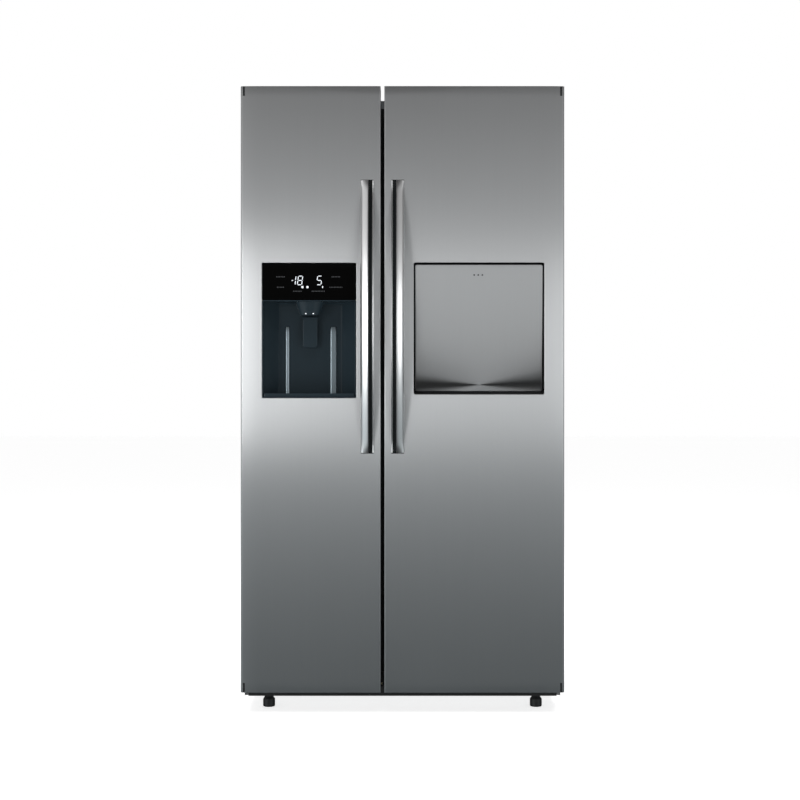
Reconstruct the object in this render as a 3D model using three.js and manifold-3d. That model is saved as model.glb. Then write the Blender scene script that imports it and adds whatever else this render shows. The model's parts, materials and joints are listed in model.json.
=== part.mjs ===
// A free-standing side by side refrigerator: freezer on the left, refrigerator on the right,
// a water and ice dispenser in the freezer door and a fold-down home bar in the refrigerator door.
//
// Millimetres, +Z up, the doors face -Y. The design is drawn with y = 0 on the cabinet's front
// plane and z = 0 on the floor, and the last group moves it so that the origin is the middle of
// the bottom of its bounding box.

import * as THREE from 'three';
import { mergeVertices } from 'three/addons/utils/BufferGeometryUtils.js';
import Module from 'manifold-3d';

const wasm = await Module();
wasm.setup();

// ---------- driving dimensions ----------

const GAP = 0.3; // between pieces that touch
const SHEET = 1; // steel sheet
const LINER = 2; // vacuum-formed liners

// doors
const WIDTH = 900; // across both doors
const DOOR_H = 1685;
const DOOR_BOTTOM = 59; // above the floor
const DOOR_T = 65;
const DOOR_STANDOFF = 13; // room for the gasket
const FREEZER_DOOR_W = 389;
const SEAM_GAP = 10.5;
const DOOR_EDGE_R = 6;
const CAP_H = 27; // moulded end caps
const CAP_SETBACK = 6; // the skin's front runs past the caps by this much

// cabinet
const CABINET_D = 600;
const CABINET_SETBACK = 3; // each side, inside the door line
const CABINET_TOP_DROP = 25; // below the door tops
const BASE_Z = 34; // underside of the base pan
const FOAM_BOTTOM = 60;
const SIDE_WALL = 55;
const TOP_WALL = 45;
const REAR_WALL = 65;
const CAVITY_FLOOR = 125;
const FLANGE_W = 30; // wrapper's front return
const KICK_TOP = 102;
const KICK_D = 12;
const KICK_SETBACK = 10.5; // each side, inside the cabinet

// machine compartment, behind and below the cavities
const MACHINE_D = 225;
const MACHINE_H = 226;
const MACHINE_SLOPE = 40;

// gaskets
const GASKET_W = 18;
const GASKET_EDGE = 2; // from the door's seam edge
const CAVITY_LIP = 4; // from the gasket to the cavity

// hinges
const PIVOT_IN = 18; // from the door's outer side
const PIVOT_AHEAD = 20; // in front of the door's rear plane
const PIN_R = 5;
const PIN_LEN = 18;
const PIN_FIT = 0.5;
const HINGE_T = 3;
const HINGE_GAP = 2; // between a hinge leaf and the door
const HINGE_W = 50;
const HINGE_OUT = 12; // leaf beyond the pin
const HINGE_BACK = 70; // leaf's end on the cabinet top
const LOWER_HINGE_OUT = 6; // the lower leaf is tucked in, clear of the opened door
const COVER_WALL = 2;
const COVER_HEAD = 1; // room above the upper leaf

// handles
const HANDLE_W = 36.5;
const HANDLE_T = 15;
const HANDLE_FROM_SEAM = 24;
const HANDLE_LEN = 763;
const HANDLE_BOTTOM = 663; // above the door bottom
const HANDLE_REACH = 50; // outer face in front of the door
const HANDLE_EDGE_R = 6;

// dispenser
const DISPENSER_W = 262;
const DISPENSER_H = 374.4;
const DISPENSER_DROP = 491.6; // below the door top
const DISPENSER_ASIDE = 4.1; // its middle from the door's, towards the hinge
const DISPENSER_D = 72;
const DISPLAY_H = 103;
const DISPLAY_T = 8;
const HOUSING_WALL = 3;
const RECESS_SIDE_R = 45;
const TRAY_H = 9;
const CHUTE_R = 27.5; // funnel mouth
const FUNNEL_R = 41;
const FUNNEL_H = 40;
const CHUTE_WALL = 2.5;
const CHUTE_Y = 32; // behind the door's front plane
const CHUTE_OVAL = 0.7; // depth over width
const DUCT_ABOVE = 10; // where the sloping duct starts, above the housing
const DUCT_CLEAR = 10; // under the ice bucket
const DUCT_H = 50;
const MOUTH_BACK = 82; // behind the cabinet's front plane
const PADDLE_W = 41;
const PADDLE_H = 83;
const PADDLE_T = 4;
const PADDLE_Y = 49; // behind the door's front plane
const PADDLE_BARREL_R = 4;
const PADDLE_PIN_R = 2;
const FLAP_R = 23.5;
const FLAP_T = 2;
const FLAP_PIN_R = 1.5;

// home bar
const BAR_DROP = 491; // opening's top below the door top
const BAR_H = 365;
const BAR_SEAM = 81.5; // from the door's seam edge
const BAR_SIDE = 56; // from the door's outer side
const BAR_GAP = 4.7;
const BAR_GAP_BOTTOM = 8;
const BAR_PANEL_T = 32;
const BAR_LINER_T = 8;
const BAR_R = 5;
const BAR_LEAN = 8; // the face's bottom edge behind its top edge
const BAR_PIVOT_IN = 12; // behind the panel's face
const BAR_PIVOT_UP = 5;
const BAR_PIN_R = 2;
const BAR_WALL = 3;
const BAR_LEDGE = 25; // all round, behind the closed door
const BAR_SEAL = 2; // room between the door and the ledge
const BAR_RIM_H = 80;
const BAR_BOX_D = 170; // from the frame's front to the back of its shelf

// door interiors
const DIKE_SEAM = 38; // inset that lets the dike and bins swing past the centre wall
const DIKE_HINGE = 12;
const DIKE_D = 22;
const DIKE_W = 30;
const BULGE_MARGIN = 95;
const BEHIND_HOUSING = 15; // foam and liner behind the dispenser
const BIN_D = 78;
const BIN_H = 96;
const BIN_WALL = 3;
const BIN_ABOVE_BAR = 60;
const BIN_BELOW_BAR = 330;

// cabinet interiors
const INNER_GAP = 4; // between a drawer or shelf and the liner
const SHELF_FRONT = 132;
const SHELF_BACK = 478;
const SHELF_T = 6;
const DRAWER_WALL = 2.5;
const LOWER_DRAWER_H = 178;
const DRAWER_FIT = 1.5; // behind the lower drawer
const UPPER_DRAWER_Z = 212; // above the cavity floor
const UPPER_DRAWER_H = 180;
const COVER_Y = 484; // evaporator cover's front
const COVER_T = 4;
const BUCKET_H = 160;
const BUCKET_ABOVE_DISPENSER = 130;
const SPOUT_FRONT = 60;
const SPOUT_H = 92;
const BUCKET_FRONT = 138;
const AUGER_R = 30;
const AUGER_TURNS = 5;
const AUGER_ROD = 6;
const ICE_MAKER_H = 70;
const FAN_R = 44;

// things that turn under the cabinet
const FOOT_R = 17;
const FOOT_IN = 67; // in from the cabinet's side
const FOOT_Y = 26;
const STEM_R = 5;
const ROLLER_R = 15;
const ROLLER_W = 20;
const ROLLER_IN = 52; // in from the cabinet's side
const ROLLER_FROM_BACK = 60;
const AXLE_R = 4;
const AXLE_FIT = 0.5;
const RAIL_D = 30;
const PAN_T = 2;
const CHEEK_T = 3;
const ROLLER_FIT = 2; // between a roller and its bracket

// ---------- worked out from them ----------

const DOOR_TOP = DOOR_BOTTOM + DOOR_H;
const DOOR_BACK = -DOOR_STANDOFF;
const DOOR_FRONT = DOOR_BACK - DOOR_T;
const CAB_TOP = DOOR_TOP - CABINET_TOP_DROP;
const CAB_X = WIDTH / 2 - CABINET_SETBACK;
const PIVOT_X = WIDTH / 2 - PIVOT_IN;
const PIVOT_Y = DOOR_BACK - PIVOT_AHEAD;

const freezerDoor = { x0: -WIDTH / 2, x1: -WIDTH / 2 + FREEZER_DOOR_W, side: -1 };
const fridgeDoor = { x0: freezerDoor.x1 + SEAM_GAP, x1: WIDTH / 2, side: 1 };
const SEAM_X = (freezerDoor.x1 + fridgeDoor.x0) / 2;
const lip = GASKET_EDGE + GASKET_W + CAVITY_LIP;
const CAVITY_TOP = CAB_TOP - TOP_WALL;
const CAVITY_BACK = CABINET_D - REAR_WALL;
const freezerCavity = { x0: -CAB_X + SIDE_WALL, x1: freezerDoor.x1 - lip };
const fridgeCavity = { x0: fridgeDoor.x0 + lip, x1: CAB_X - SIDE_WALL };
const STEP_Y = CABINET_D - MACHINE_D - MACHINE_SLOPE; // foot of the slope, foam's underside
const MACHINE_TOP = BASE_Z + MACHINE_H;
const FLOOR_T = CAVITY_FLOOR - FOAM_BOTTOM;
const FLOOR_END = STEP_Y - FLOOR_T / 3; // where the cavity's floor starts to rise

const DISPENSER_X = (freezerDoor.x0 + freezerDoor.x1) / 2 - DISPENSER_ASIDE;
const housing = {
  x0: DISPENSER_X - DISPENSER_W / 2,
  x1: DISPENSER_X + DISPENSER_W / 2,
  z0: DOOR_TOP - DISPENSER_DROP - DISPENSER_H,
  z1: DOOR_TOP - DISPENSER_DROP,
};
const BULGE_BACK = DOOR_FRONT + DISPENSER_D + BEHIND_HOUSING;
const RECESS_TOP = housing.z1 - DISPLAY_H;
const CHUTE_CY = DOOR_FRONT + CHUTE_Y;
const DUCT_Z = housing.z1 + DUCT_ABOVE;
const MOUTH_Z = housing.z1 + BUCKET_ABOVE_DISPENSER - DUCT_CLEAR;
const PADDLE_PIVOT_Z = RECESS_TOP - FUNNEL_H - 7;
const PADDLE_PIVOT_Y = DOOR_FRONT + PADDLE_Y;
const FLAP_Y = CHUTE_CY + FLAP_R * CHUTE_OVAL;
const FLAP_Z = RECESS_TOP + 4;

const bar = {
  x0: fridgeDoor.x0 + BAR_SEAM,
  x1: fridgeDoor.x1 - BAR_SIDE,
  z0: DOOR_TOP - BAR_DROP - BAR_H,
  z1: DOOR_TOP - BAR_DROP,
};
const barTunnel = {
  x0: bar.x0 + BAR_LEDGE, x1: bar.x1 - BAR_LEDGE, z0: bar.z0 + BAR_LEDGE, z1: bar.z1 - BAR_LEDGE,
};
const BAR_LEDGE_Y = DOOR_FRONT + BAR_PANEL_T + BAR_SEAL;
const BAR_PIVOT_Y = DOOR_FRONT + BAR_PIVOT_IN;
const BAR_PIVOT_Z = bar.z0 + BAR_GAP_BOTTOM + BAR_PIVOT_UP;

const BUCKET_Z = housing.z1 + BUCKET_ABOVE_DISPENSER;
const AUGER_Z = BUCKET_Z + AUGER_R + 12;
const FREEZER_X = (freezerCavity.x0 + freezerCavity.x1) / 2;
const FAN_Y = (COVER_Y + COVER_T + CAVITY_BACK) / 2;
const FAN_Z = CAVITY_TOP - 120;
const CONDENSER_FAN_Y = CABINET_D - MACHINE_D / 2;
const CONDENSER_FAN_X = -60;
const CONDENSER_FAN_Z = BASE_Z + 110;
const ROLLER_Y = CABINET_D - ROLLER_FROM_BACK;
const ROLLER_X = CAB_X - ROLLER_IN;
const FOOT_X = CAB_X - FOOT_IN;
const COVER_TOP = DOOR_TOP + HINGE_GAP + HINGE_T + COVER_HEAD + COVER_WALL;

// ---------- geometry helpers ----------

function solid(geometry) {
  const bare = geometry.clone();
  bare.deleteAttribute('normal');
  bare.deleteAttribute('uv');
  const merged = mergeVertices(bare, 1e-4);
  return new wasm.Manifold(new wasm.Mesh({
    numProp: 3,
    vertProperties: new Float32Array(merged.attributes.position.array),
    triVerts: new Uint32Array(merged.index.array),
  }));
}

function box(x0, x1, y0, y1, z0, z1) {
  const g = new THREE.BoxGeometry(x1 - x0, y1 - y0, z1 - z0);
  g.translate((x0 + x1) / 2, (y0 + y1) / 2, (z0 + z1) / 2);
  return solid(g);
}

// a closed shape in two axes, extruded along the third
function extrude(shape, depth, matrix, curveSegments = 2) {
  const g = new THREE.ExtrudeGeometry(shape, { depth, bevelEnabled: false, curveSegments });
  return solid(g.applyMatrix4(matrix));
}

const M = (...rows) => new THREE.Matrix4().set(...rows, 0, 0, 0, 1);
const alongX = (x0) => M(0, 0, 1, x0, 1, 0, 0, 0, 0, 1, 0, 0); // shape (u, v) is (y, z)
const alongY = (y1) => M(1, 0, 0, 0, 0, 0, -1, y1, 0, 1, 0, 0); // shape (u, v) is (x, z), y1 to the front
const alongZ = (z0) => M(1, 0, 0, 0, 0, 1, 0, 0, 0, 0, 1, z0); // shape (u, v) is (x, y)

function polygon(points) {
  return new THREE.Shape(points.map(([u, v]) => new THREE.Vector2(u, v)));
}

function roundedRect(u0, u1, v0, v1, r) {
  const s = new THREE.Shape();
  s.moveTo(u0 + r, v0);
  s.lineTo(u1 - r, v0);
  s.absarc(u1 - r, v0 + r, r, -Math.PI / 2, 0);
  s.lineTo(u1, v1 - r);
  s.absarc(u1 - r, v1 - r, r, 0, Math.PI / 2);
  s.lineTo(u0 + r, v1);
  s.absarc(u0 + r, v1 - r, r, Math.PI / 2, Math.PI);
  s.lineTo(u0, v0 + r);
  s.absarc(u0 + r, v0 + r, r, Math.PI, 1.5 * Math.PI);
  return s;
}

const roundedPlate = (x0, x1, y0, y1, z0, z1, r) =>
  extrude(roundedRect(x0, x1, z0, z1, r), y1 - y0, alongY(y1));

const roundedColumn = (x0, x1, y0, y1, z0, z1, r) =>
  extrude(roundedRect(x0, x1, y0, y1, r), z1 - z0, alongZ(z0));

function cylinder(axis, r, a0, a1, u, v, segments = 24) {
  const g = new THREE.CylinderGeometry(r, r, a1 - a0, segments);
  const mid = (a0 + a1) / 2;
  if (axis === 'x') g.rotateZ(Math.PI / 2).translate(mid, u, v);
  if (axis === 'y') g.translate(u, mid, v);
  if (axis === 'z') g.rotateX(Math.PI / 2).translate(u, v, mid);
  return solid(g);
}

// a turned shape about a vertical axis, from (radius, height) points
function turned(points, x, y, z, segments = 32, oval = 1) {
  const g = new THREE.LatheGeometry(points.map(([r, h]) => new THREE.Vector2(r, h)), segments);
  g.rotateX(Math.PI / 2).scale(1, oval, 1).translate(x, y, z);
  return solid(g);
}

// an upright oval plug about the chute's axis
const chutePlug = (r, z0, z1) =>
  turned([[0, 0], [r, 0], [r, z1 - z0], [0, z1 - z0]], DISPENSER_X, CHUTE_CY, z0, 32, CHUTE_OVAL);

const join = (first, ...rest) => rest.reduce((a, b) => a.add(b), first);
const cut = (first, ...rest) => rest.reduce((a, b) => a.subtract(b), first);

const finishes = {
  steel: { color: 0xa9adaf, roughness: 0.35, metalness: 0.9 },
  greyMetal: { color: 0x8a8d8f, roughness: 0.5, metalness: 0.3 },
  satin: { color: 0xc9cccd, roughness: 0.25, metalness: 1 },
  zinc: { color: 0x9a9c9d, roughness: 0.45, metalness: 0.8 },
  foam: { color: 0xe6d9b0, roughness: 0.95, metalness: 0 },
  white: { color: 0xe9ebec, roughness: 0.4, metalness: 0 },
  clear: { color: 0xb9cbd2, roughness: 0.15, metalness: 0 },
  glass: { color: 0xa8c4bf, roughness: 0.08, metalness: 0 },
  dark: { color: 0x303335, roughness: 0.5, metalness: 0 },
  recess: { color: 0x303a44, roughness: 0.25, metalness: 0 },
  black: { color: 0x0a0b0c, roughness: 0.06, metalness: 0 },
  seal: { color: 0x8b8d8e, roughness: 0.8, metalness: 0 },
};

function part(name, shape, finish) {
  const { vertProperties, triVerts, numProp } = shape.getMesh();
  if (numProp !== 3) throw new Error(`${name} holds more than positions`);
  const geometry = new THREE.BufferGeometry();
  geometry.setAttribute('position', new THREE.BufferAttribute(vertProperties.slice(), 3));
  geometry.setIndex(new THREE.BufferAttribute(triVerts.slice(), 1));
  geometry.computeVertexNormals();
  const mesh = new THREE.Mesh(geometry, new THREE.MeshStandardMaterial(finishes[finish]));
  mesh.name = name;
  return mesh;
}

// an open-topped tray
function tray(x0, x1, y0, y1, z0, z1, wall, r = 8) {
  return cut(
    roundedColumn(x0, x1, y0, y1, z0, z1, r),
    roundedColumn(x0 + wall, x1 - wall, y0 + wall, y1 - wall, z0 + wall, z1 + 1, r - wall),
  );
}

const place = (side, x) => (side < 0 ? -x : x);
const span = (side, a, b) => (side < 0 ? [-b, -a] : [a, b]);

// ---------- cabinet ----------

// side view of the foam and, grown or shrunk by `off`, of what lines it
function cavityOutline(front, off) {
  const floor = CAVITY_FLOOR - off;
  const step = MACHINE_TOP + FLOOR_T - off;
  return polygon([
    [front, floor], [FLOOR_END, floor],
    [FLOOR_END + MACHINE_SLOPE, step], [CAVITY_BACK + off, step],
    [CAVITY_BACK + off, CAVITY_TOP + off], [front, CAVITY_TOP + off],
  ]);
}

function foamOutline() {
  return polygon([
    [KICK_D + GAP, FOAM_BOTTOM], [STEP_Y, FOAM_BOTTOM],
    [STEP_Y + MACHINE_SLOPE, MACHINE_TOP], [CABINET_D - SHEET - GAP, MACHINE_TOP],
    [CABINET_D - SHEET - GAP, CAB_TOP - SHEET - GAP], [LINER + GAP, CAB_TOP - SHEET - GAP],
    [LINER + GAP, KICK_TOP + GAP], [KICK_D + GAP, KICK_TOP + GAP],
  ]);
}

function cabinetWrapper() {
  const inner = CAB_X - SHEET;
  const shell = cut(
    box(-CAB_X, CAB_X, 0, CABINET_D, BASE_Z, CAB_TOP),
    box(-inner, inner, SHEET, CABINET_D + 1, BASE_Z - 1, CAB_TOP - SHEET),
  );
  const opening = CAB_X - FLANGE_W;
  return cut(
    shell,
    box(-opening, opening, -1, SHEET + 1, BASE_Z - 1, CAB_TOP - FLANGE_W),
    box(-inner, inner, -1, SHEET + 1, BASE_Z - 1, KICK_TOP + GAP),
  );
}

function cabinetFoam() {
  const grow = LINER + GAP;
  const side = CAB_X - SHEET - GAP;
  const block = extrude(foamOutline(), 2 * side, alongX(-side));
  const cavity = ({ x0, x1 }) =>
    extrude(cavityOutline(-1, grow), x1 - x0 + 2 * grow, alongX(x0 - grow));
  return cut(block, cavity(freezerCavity), cavity(fridgeCavity));
}

function liner({ x0, x1 }) {
  const shell = cut(
    extrude(cavityOutline(0, LINER), x1 - x0 + 2 * LINER, alongX(x0 - LINER)),
    extrude(cavityOutline(-1, 0), x1 - x0, alongX(x0)),
  );
  const outside = CAB_X - FLANGE_W - GAP;
  const left = x0 > SEAM_X ? SEAM_X + GAP : -outside;
  const right = x0 > SEAM_X ? outside : SEAM_X - GAP;
  const flange = cut(
    box(left, right, 0, LINER, KICK_TOP + GAP, CAB_TOP - FLANGE_W - GAP),
    box(x0, x1, -1, LINER + 1, CAVITY_FLOOR, CAVITY_TOP),
  );
  return join(shell, flange);
}

function basePan() {
  const wide = CAB_X - SHEET - GAP;
  const back = CABINET_D - SHEET - GAP;
  const front = KICK_D + GAP;
  let pan = join(
    box(-wide, wide, front, back, BASE_Z, BASE_Z + PAN_T),
    box(-wide, wide, front, front + RAIL_D, BASE_Z, FOAM_BOTTOM - GAP),
  );
  for (const side of [-1, 1]) {
    pan = cut(
      join(pan, ...rollerCheeks(side)),
      cylinder('z', STEM_R + AXLE_FIT, BASE_Z - 1, FOAM_BOTTOM, place(side, FOOT_X), FOOT_Y),
      rollerWell(side),
    ).add(rollerAxle(side));
  }
  return pan;
}

const cheekIn = ROLLER_X - ROLLER_W / 2 - ROLLER_FIT;
const cheekOut = ROLLER_X + ROLLER_W / 2 + ROLLER_FIT;

function rollerCheeks(side) {
  return [cheekIn - CHEEK_T, cheekOut].map((x) => {
    const [x0, x1] = span(side, x, x + CHEEK_T);
    const reach = ROLLER_R - 1;
    return box(x0, x1, ROLLER_Y - reach, ROLLER_Y + reach, ROLLER_R - AXLE_R - 4, BASE_Z + PAN_T);
  });
}

function rollerWell(side) {
  const [x0, x1] = span(side, cheekIn, cheekOut);
  return cylinder('x', ROLLER_R + ROLLER_FIT, x0, x1, ROLLER_Y, ROLLER_R, 40);
}

function rollerAxle(side) {
  const [x0, x1] = span(side, cheekIn - CHEEK_T - 1, cheekOut + CHEEK_T + 1);
  return cylinder('x', AXLE_R, x0, x1, ROLLER_Y, ROLLER_R, 20);
}

function kickPlate() {
  const side = CAB_X - KICK_SETBACK;
  let plate = box(-side, side, 0, KICK_D, BASE_Z, KICK_TOP);
  const slots = 16;
  const pitch = (2 * side - 120) / slots;
  for (let i = 0; i < slots; i += 1) {
    const x = -side + 60 + pitch * (i + 0.5);
    plate = cut(plate, box(x - pitch * 0.3, x + pitch * 0.3, -1, KICK_D + 1, BASE_Z + 30, BASE_Z + 38));
  }
  return plate;
}

const leafX = (side) => span(side, PIVOT_X - HINGE_W + HINGE_OUT, PIVOT_X + HINGE_OUT);

function upperHinge(side) {
  const [x0, x1] = leafX(side);
  const px = place(side, PIVOT_X);
  const z0 = DOOR_TOP + HINGE_GAP;
  const leaf = roundedColumn(x0, x1, PIVOT_Y - HINGE_OUT, HINGE_BACK, z0, z0 + HINGE_T, 10);
  const riser = box(x0 + 4, x1 - 4, 6, HINGE_BACK - 10, CAB_TOP + GAP, z0 + 1);
  const pin = cylinder('z', PIN_R, DOOR_TOP - PIN_LEN, z0 + 1, px, PIVOT_Y);
  return join(leaf, riser, pin);
}

// it stands on the cabinet behind the door; the leaf runs out through a slot in its front
function hingeCover(side) {
  const [x0, x1] = leafX(side);
  const edge = COVER_WALL + GAP;
  const lowest = CAB_TOP + GAP;
  const leaf = DOOR_TOP + HINGE_GAP;
  return cut(
    roundedColumn(x0 - edge, x1 + edge, GAP, HINGE_BACK + edge, lowest, COVER_TOP, 4),
    box(x0 - GAP, x1 + GAP, GAP + COVER_WALL, HINGE_BACK + GAP, lowest - 1, COVER_TOP - COVER_WALL),
    box(x0 - GAP, x1 + GAP, -1, GAP + COVER_WALL + 1, leaf - GAP, leaf + HINGE_T + GAP),
  );
}

function lowerHinge(side) {
  const [x0, x1] = span(side, PIVOT_X - HINGE_W + LOWER_HINGE_OUT, PIVOT_X + LOWER_HINGE_OUT);
  const px = place(side, PIVOT_X);
  const z1 = DOOR_BOTTOM - HINGE_GAP;
  const leaf = roundedColumn(x0, x1, PIVOT_Y - HINGE_OUT, -GAP, z1 - HINGE_T, z1, 4);
  const back = box(x0, x1, -GAP - HINGE_T, -GAP, z1 - HINGE_T, KICK_TOP - 4);
  const pin = cylinder('z', PIN_R, z1 - 1, DOOR_BOTTOM + PIN_LEN, px, PIVOT_Y);
  return join(leaf, back, pin);
}

function rearPanel() {
  const inner = CAB_X - SHEET - GAP;
  return box(-inner, inner, CABINET_D - SHEET, CABINET_D, MACHINE_TOP + GAP, CAB_TOP - SHEET - GAP);
}

function machineCover() {
  const inner = CAB_X - SHEET - GAP;
  let cover = box(-inner, inner, CABINET_D - SHEET, CABINET_D, BASE_Z + PAN_T + GAP, MACHINE_TOP - GAP);
  const rows = 5;
  const columns = 8;
  for (let i = 0; i < columns; i += 1) {
    for (let j = 0; j < rows; j += 1) {
      const x = -300 + 80 * i;
      const z = BASE_Z + 60 + 26 * j;
      cover = cut(cover, box(x, x + 56, CABINET_D - SHEET - 1, CABINET_D + 1, z, z + 8));
    }
  }
  return cover;
}

function compressor() {
  const x = 200;
  const y = CABINET_D - MACHINE_D / 2;
  const z = BASE_Z + PAN_T + GAP;
  const body = turned([
    [0, 14], [66, 14], [78, 30], [80, 70], [80, 96], [72, 122], [48, 140], [0, 146],
  ], x, y, z, 28);
  const foot = box(x - 92, x + 92, y - 40, y + 40, z, z + 16);
  return join(body, foot);
}

// ---------- inside the cavities ----------

const inside = ({ x0, x1 }) => [x0 + INNER_GAP, x1 - INNER_GAP];

function lowerDrawer(cavity) {
  const [x0, x1] = inside(cavity);
  const z0 = CAVITY_FLOOR + INNER_GAP;
  return tray(x0, x1, SHELF_FRONT, FLOOR_END - DRAWER_FIT, z0, z0 + LOWER_DRAWER_H, DRAWER_WALL);
}

function upperDrawer(cavity) {
  const [x0, x1] = inside(cavity);
  const z0 = CAVITY_FLOOR + UPPER_DRAWER_Z;
  return tray(x0, x1, SHELF_FRONT, SHELF_BACK, z0, z0 + UPPER_DRAWER_H, DRAWER_WALL);
}

function shelf(cavity, z) {
  const [x0, x1] = inside(cavity);
  const plate = box(x0, x1, SHELF_FRONT, SHELF_BACK, z, z + SHELF_T);
  const lipFront = box(x0, x1, SHELF_FRONT, SHELF_FRONT + 8, z - 8, z + SHELF_T + 3);
  const lipBack = box(x0, x1, SHELF_BACK - 8, SHELF_BACK, z - 4, z + SHELF_T + 14);
  return join(plate, lipFront, lipBack);
}

const SHELF_LOWEST = CAVITY_FLOOR + UPPER_DRAWER_Z + UPPER_DRAWER_H + 12;
const shelfBetween = (z0, z1, share) => z0 + (z1 - z0) * share;

function evaporatorCover() {
  const [x0, x1] = inside(freezerCavity);
  const z0 = MACHINE_TOP + FLOOR_T + 6;
  let cover = box(x0, x1, COVER_Y, COVER_Y + COVER_T, z0, CAVITY_TOP - INNER_GAP);
  for (let i = -3; i <= 3; i += 1) {
    const z = FAN_Z + i * 12;
    const half = Math.sqrt(FAN_R ** 2 - (i * 12) ** 2);
    cover = cut(cover, box(
      FREEZER_X - half, FREEZER_X + half, COVER_Y - 1, COVER_Y + COVER_T + 1, z - 3, z + 3,
    ));
  }
  return cover;
}

function fan(r, hub, depth, x, y, z, blades) {
  let shape = cylinder('y', hub, y - depth / 2, y + depth / 2, x, z, 20);
  for (let i = 0; i < blades; i += 1) {
    const g = new THREE.BoxGeometry(r - hub * 0.6, 2, r * 0.62);
    g.translate((r + hub * 0.6) / 2, 0, 0);
    g.rotateX(0.5);
    g.rotateY((2 * Math.PI * i) / blades);
    g.translate(x, y, z);
    shape = join(shape, solid(g));
  }
  return shape;
}

function airDuct() {
  const x = (fridgeCavity.x0 + fridgeCavity.x1) / 2;
  const z0 = MACHINE_TOP + FLOOR_T + 6;
  const z1 = CAVITY_TOP - INNER_GAP;
  let duct = cut(
    roundedColumn(x - 70, x + 70, COVER_Y, CAVITY_BACK - GAP, z0, z1, 14),
    box(x - 64, x + 64, COVER_Y + 5, CAVITY_BACK + 1, z0 + 5, z1 - 5),
  );
  const outlets = 5;
  for (let i = 0; i < outlets; i += 1) {
    const z = z0 + ((z1 - z0) * (i + 0.5)) / outlets;
    duct = cut(duct, box(x - 40, x + 40, COVER_Y - 1, COVER_Y + 6, z - 5, z + 5));
  }
  return duct;
}

function iceBucket() {
  const [x0, x1] = inside(freezerCavity);
  const wall = 3;
  const half = AUGER_R + 10;
  const bucket = tray(x0, x1, BUCKET_FRONT, SHELF_BACK, BUCKET_Z, BUCKET_Z + BUCKET_H, wall, 12);
  const spout = cut(
    box(
      FREEZER_X - half, FREEZER_X + half, SPOUT_FRONT, BUCKET_FRONT + wall,
      BUCKET_Z, BUCKET_Z + SPOUT_H,
    ),
    box(
      FREEZER_X - half + wall, FREEZER_X + half - wall, SPOUT_FRONT + wall, BUCKET_FRONT,
      BUCKET_Z - 1, BUCKET_Z + SPOUT_H - wall,
    ),
  );
  return cut(
    join(bucket, spout),
    cylinder('y', AUGER_R + 2, BUCKET_FRONT - 1, BUCKET_FRONT + wall + 1, FREEZER_X, AUGER_Z, 28),
    cylinder('y', 5, SHELF_BACK - wall - 1, SHELF_BACK + 1, FREEZER_X, AUGER_Z, 16),
  );
}

// a shaft with a wire helix, which pushes the ice to the front
function iceAuger() {
  const y0 = BUCKET_FRONT + 14;
  const y1 = SHELF_BACK - 12;
  const shaft = cylinder('y', 4, 80, SHELF_BACK + 4, FREEZER_X, AUGER_Z, 16);
  class Helix extends THREE.Curve {
    getPoint(t, target = new THREE.Vector3()) {
      const a = 2 * Math.PI * AUGER_TURNS * t;
      const grow = Math.min(1, 8 * t, 8 * (1 - t));
      const r = (AUGER_R - AUGER_ROD / 2) * grow;
      return target.set(FREEZER_X + r * Math.cos(a), y0 + (y1 - y0) * t, AUGER_Z + r * Math.sin(a));
    }
  }
  const rod = new THREE.Shape();
  rod.absarc(0, 0, AUGER_ROD / 2, 0, 2 * Math.PI);
  const g = new THREE.ExtrudeGeometry(rod, {
    steps: 80, extrudePath: new Helix(), bevelEnabled: false, curveSegments: 3,
  });
  return join(shaft, solid(g));
}

function iceMaker() {
  const [x0, x1] = inside(freezerCavity);
  const z0 = BUCKET_Z + BUCKET_H + 14;
  const mould = cut(
    box(x0 + 30, x1, 190, SHELF_BACK, z0, z0 + ICE_MAKER_H),
    box(x0 + 40, x1 - 46, 200, SHELF_BACK - 10, z0 + 14, z0 + ICE_MAKER_H + 1),
  );
  const arm = box(x0 + 12, x0 + 31, 230, 244, z0 - 6, z0 + 20);
  return join(mould, arm);
}

// ---------- doors ----------

const doorOutline = (door, inset) => {
  const s = new THREE.Shape();
  const [x0, x1] = [door.x0 + inset, door.x1 - inset];
  const [y0, y1] = [DOOR_FRONT + inset, DOOR_BACK];
  const r = DOOR_EDGE_R - inset;
  s.moveTo(x0 + r, y0);
  s.lineTo(x1 - r, y0);
  s.absarc(x1 - r, y0 + r, r, -Math.PI / 2, 0);
  s.lineTo(x1, y1);
  s.lineTo(x0, y1);
  s.lineTo(x0, y0 + r);
  s.absarc(x0 + r, y0 + r, r, Math.PI, 1.5 * Math.PI);
  return s;
};

function doorSkin(door, opening, radius) {
  const shell = cut(
    extrude(doorOutline(door, 0), DOOR_H, alongZ(DOOR_BOTTOM)),
    extrude(doorOutline(door, SHEET), DOOR_H + 2, alongZ(DOOR_BOTTOM - 1)),
    box(door.x0 + SHEET, door.x1 - SHEET, DOOR_BACK - 1, DOOR_BACK + 1, DOOR_BOTTOM, DOOR_TOP),
  );
  const y0 = DOOR_FRONT + CAP_SETBACK;
  return cut(
    shell,
    box(door.x0 - 1, door.x1 + 1, y0, 0, DOOR_BOTTOM - 1, DOOR_BOTTOM + CAP_H + GAP),
    box(door.x0 - 1, door.x1 + 1, y0, 0, DOOR_TOP - CAP_H - GAP, DOOR_TOP + 1),
    roundedPlate(
      opening.x0, opening.x1, DOOR_FRONT - 1, DOOR_FRONT + 3, opening.z0, opening.z1, radius,
    ),
  );
}

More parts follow.
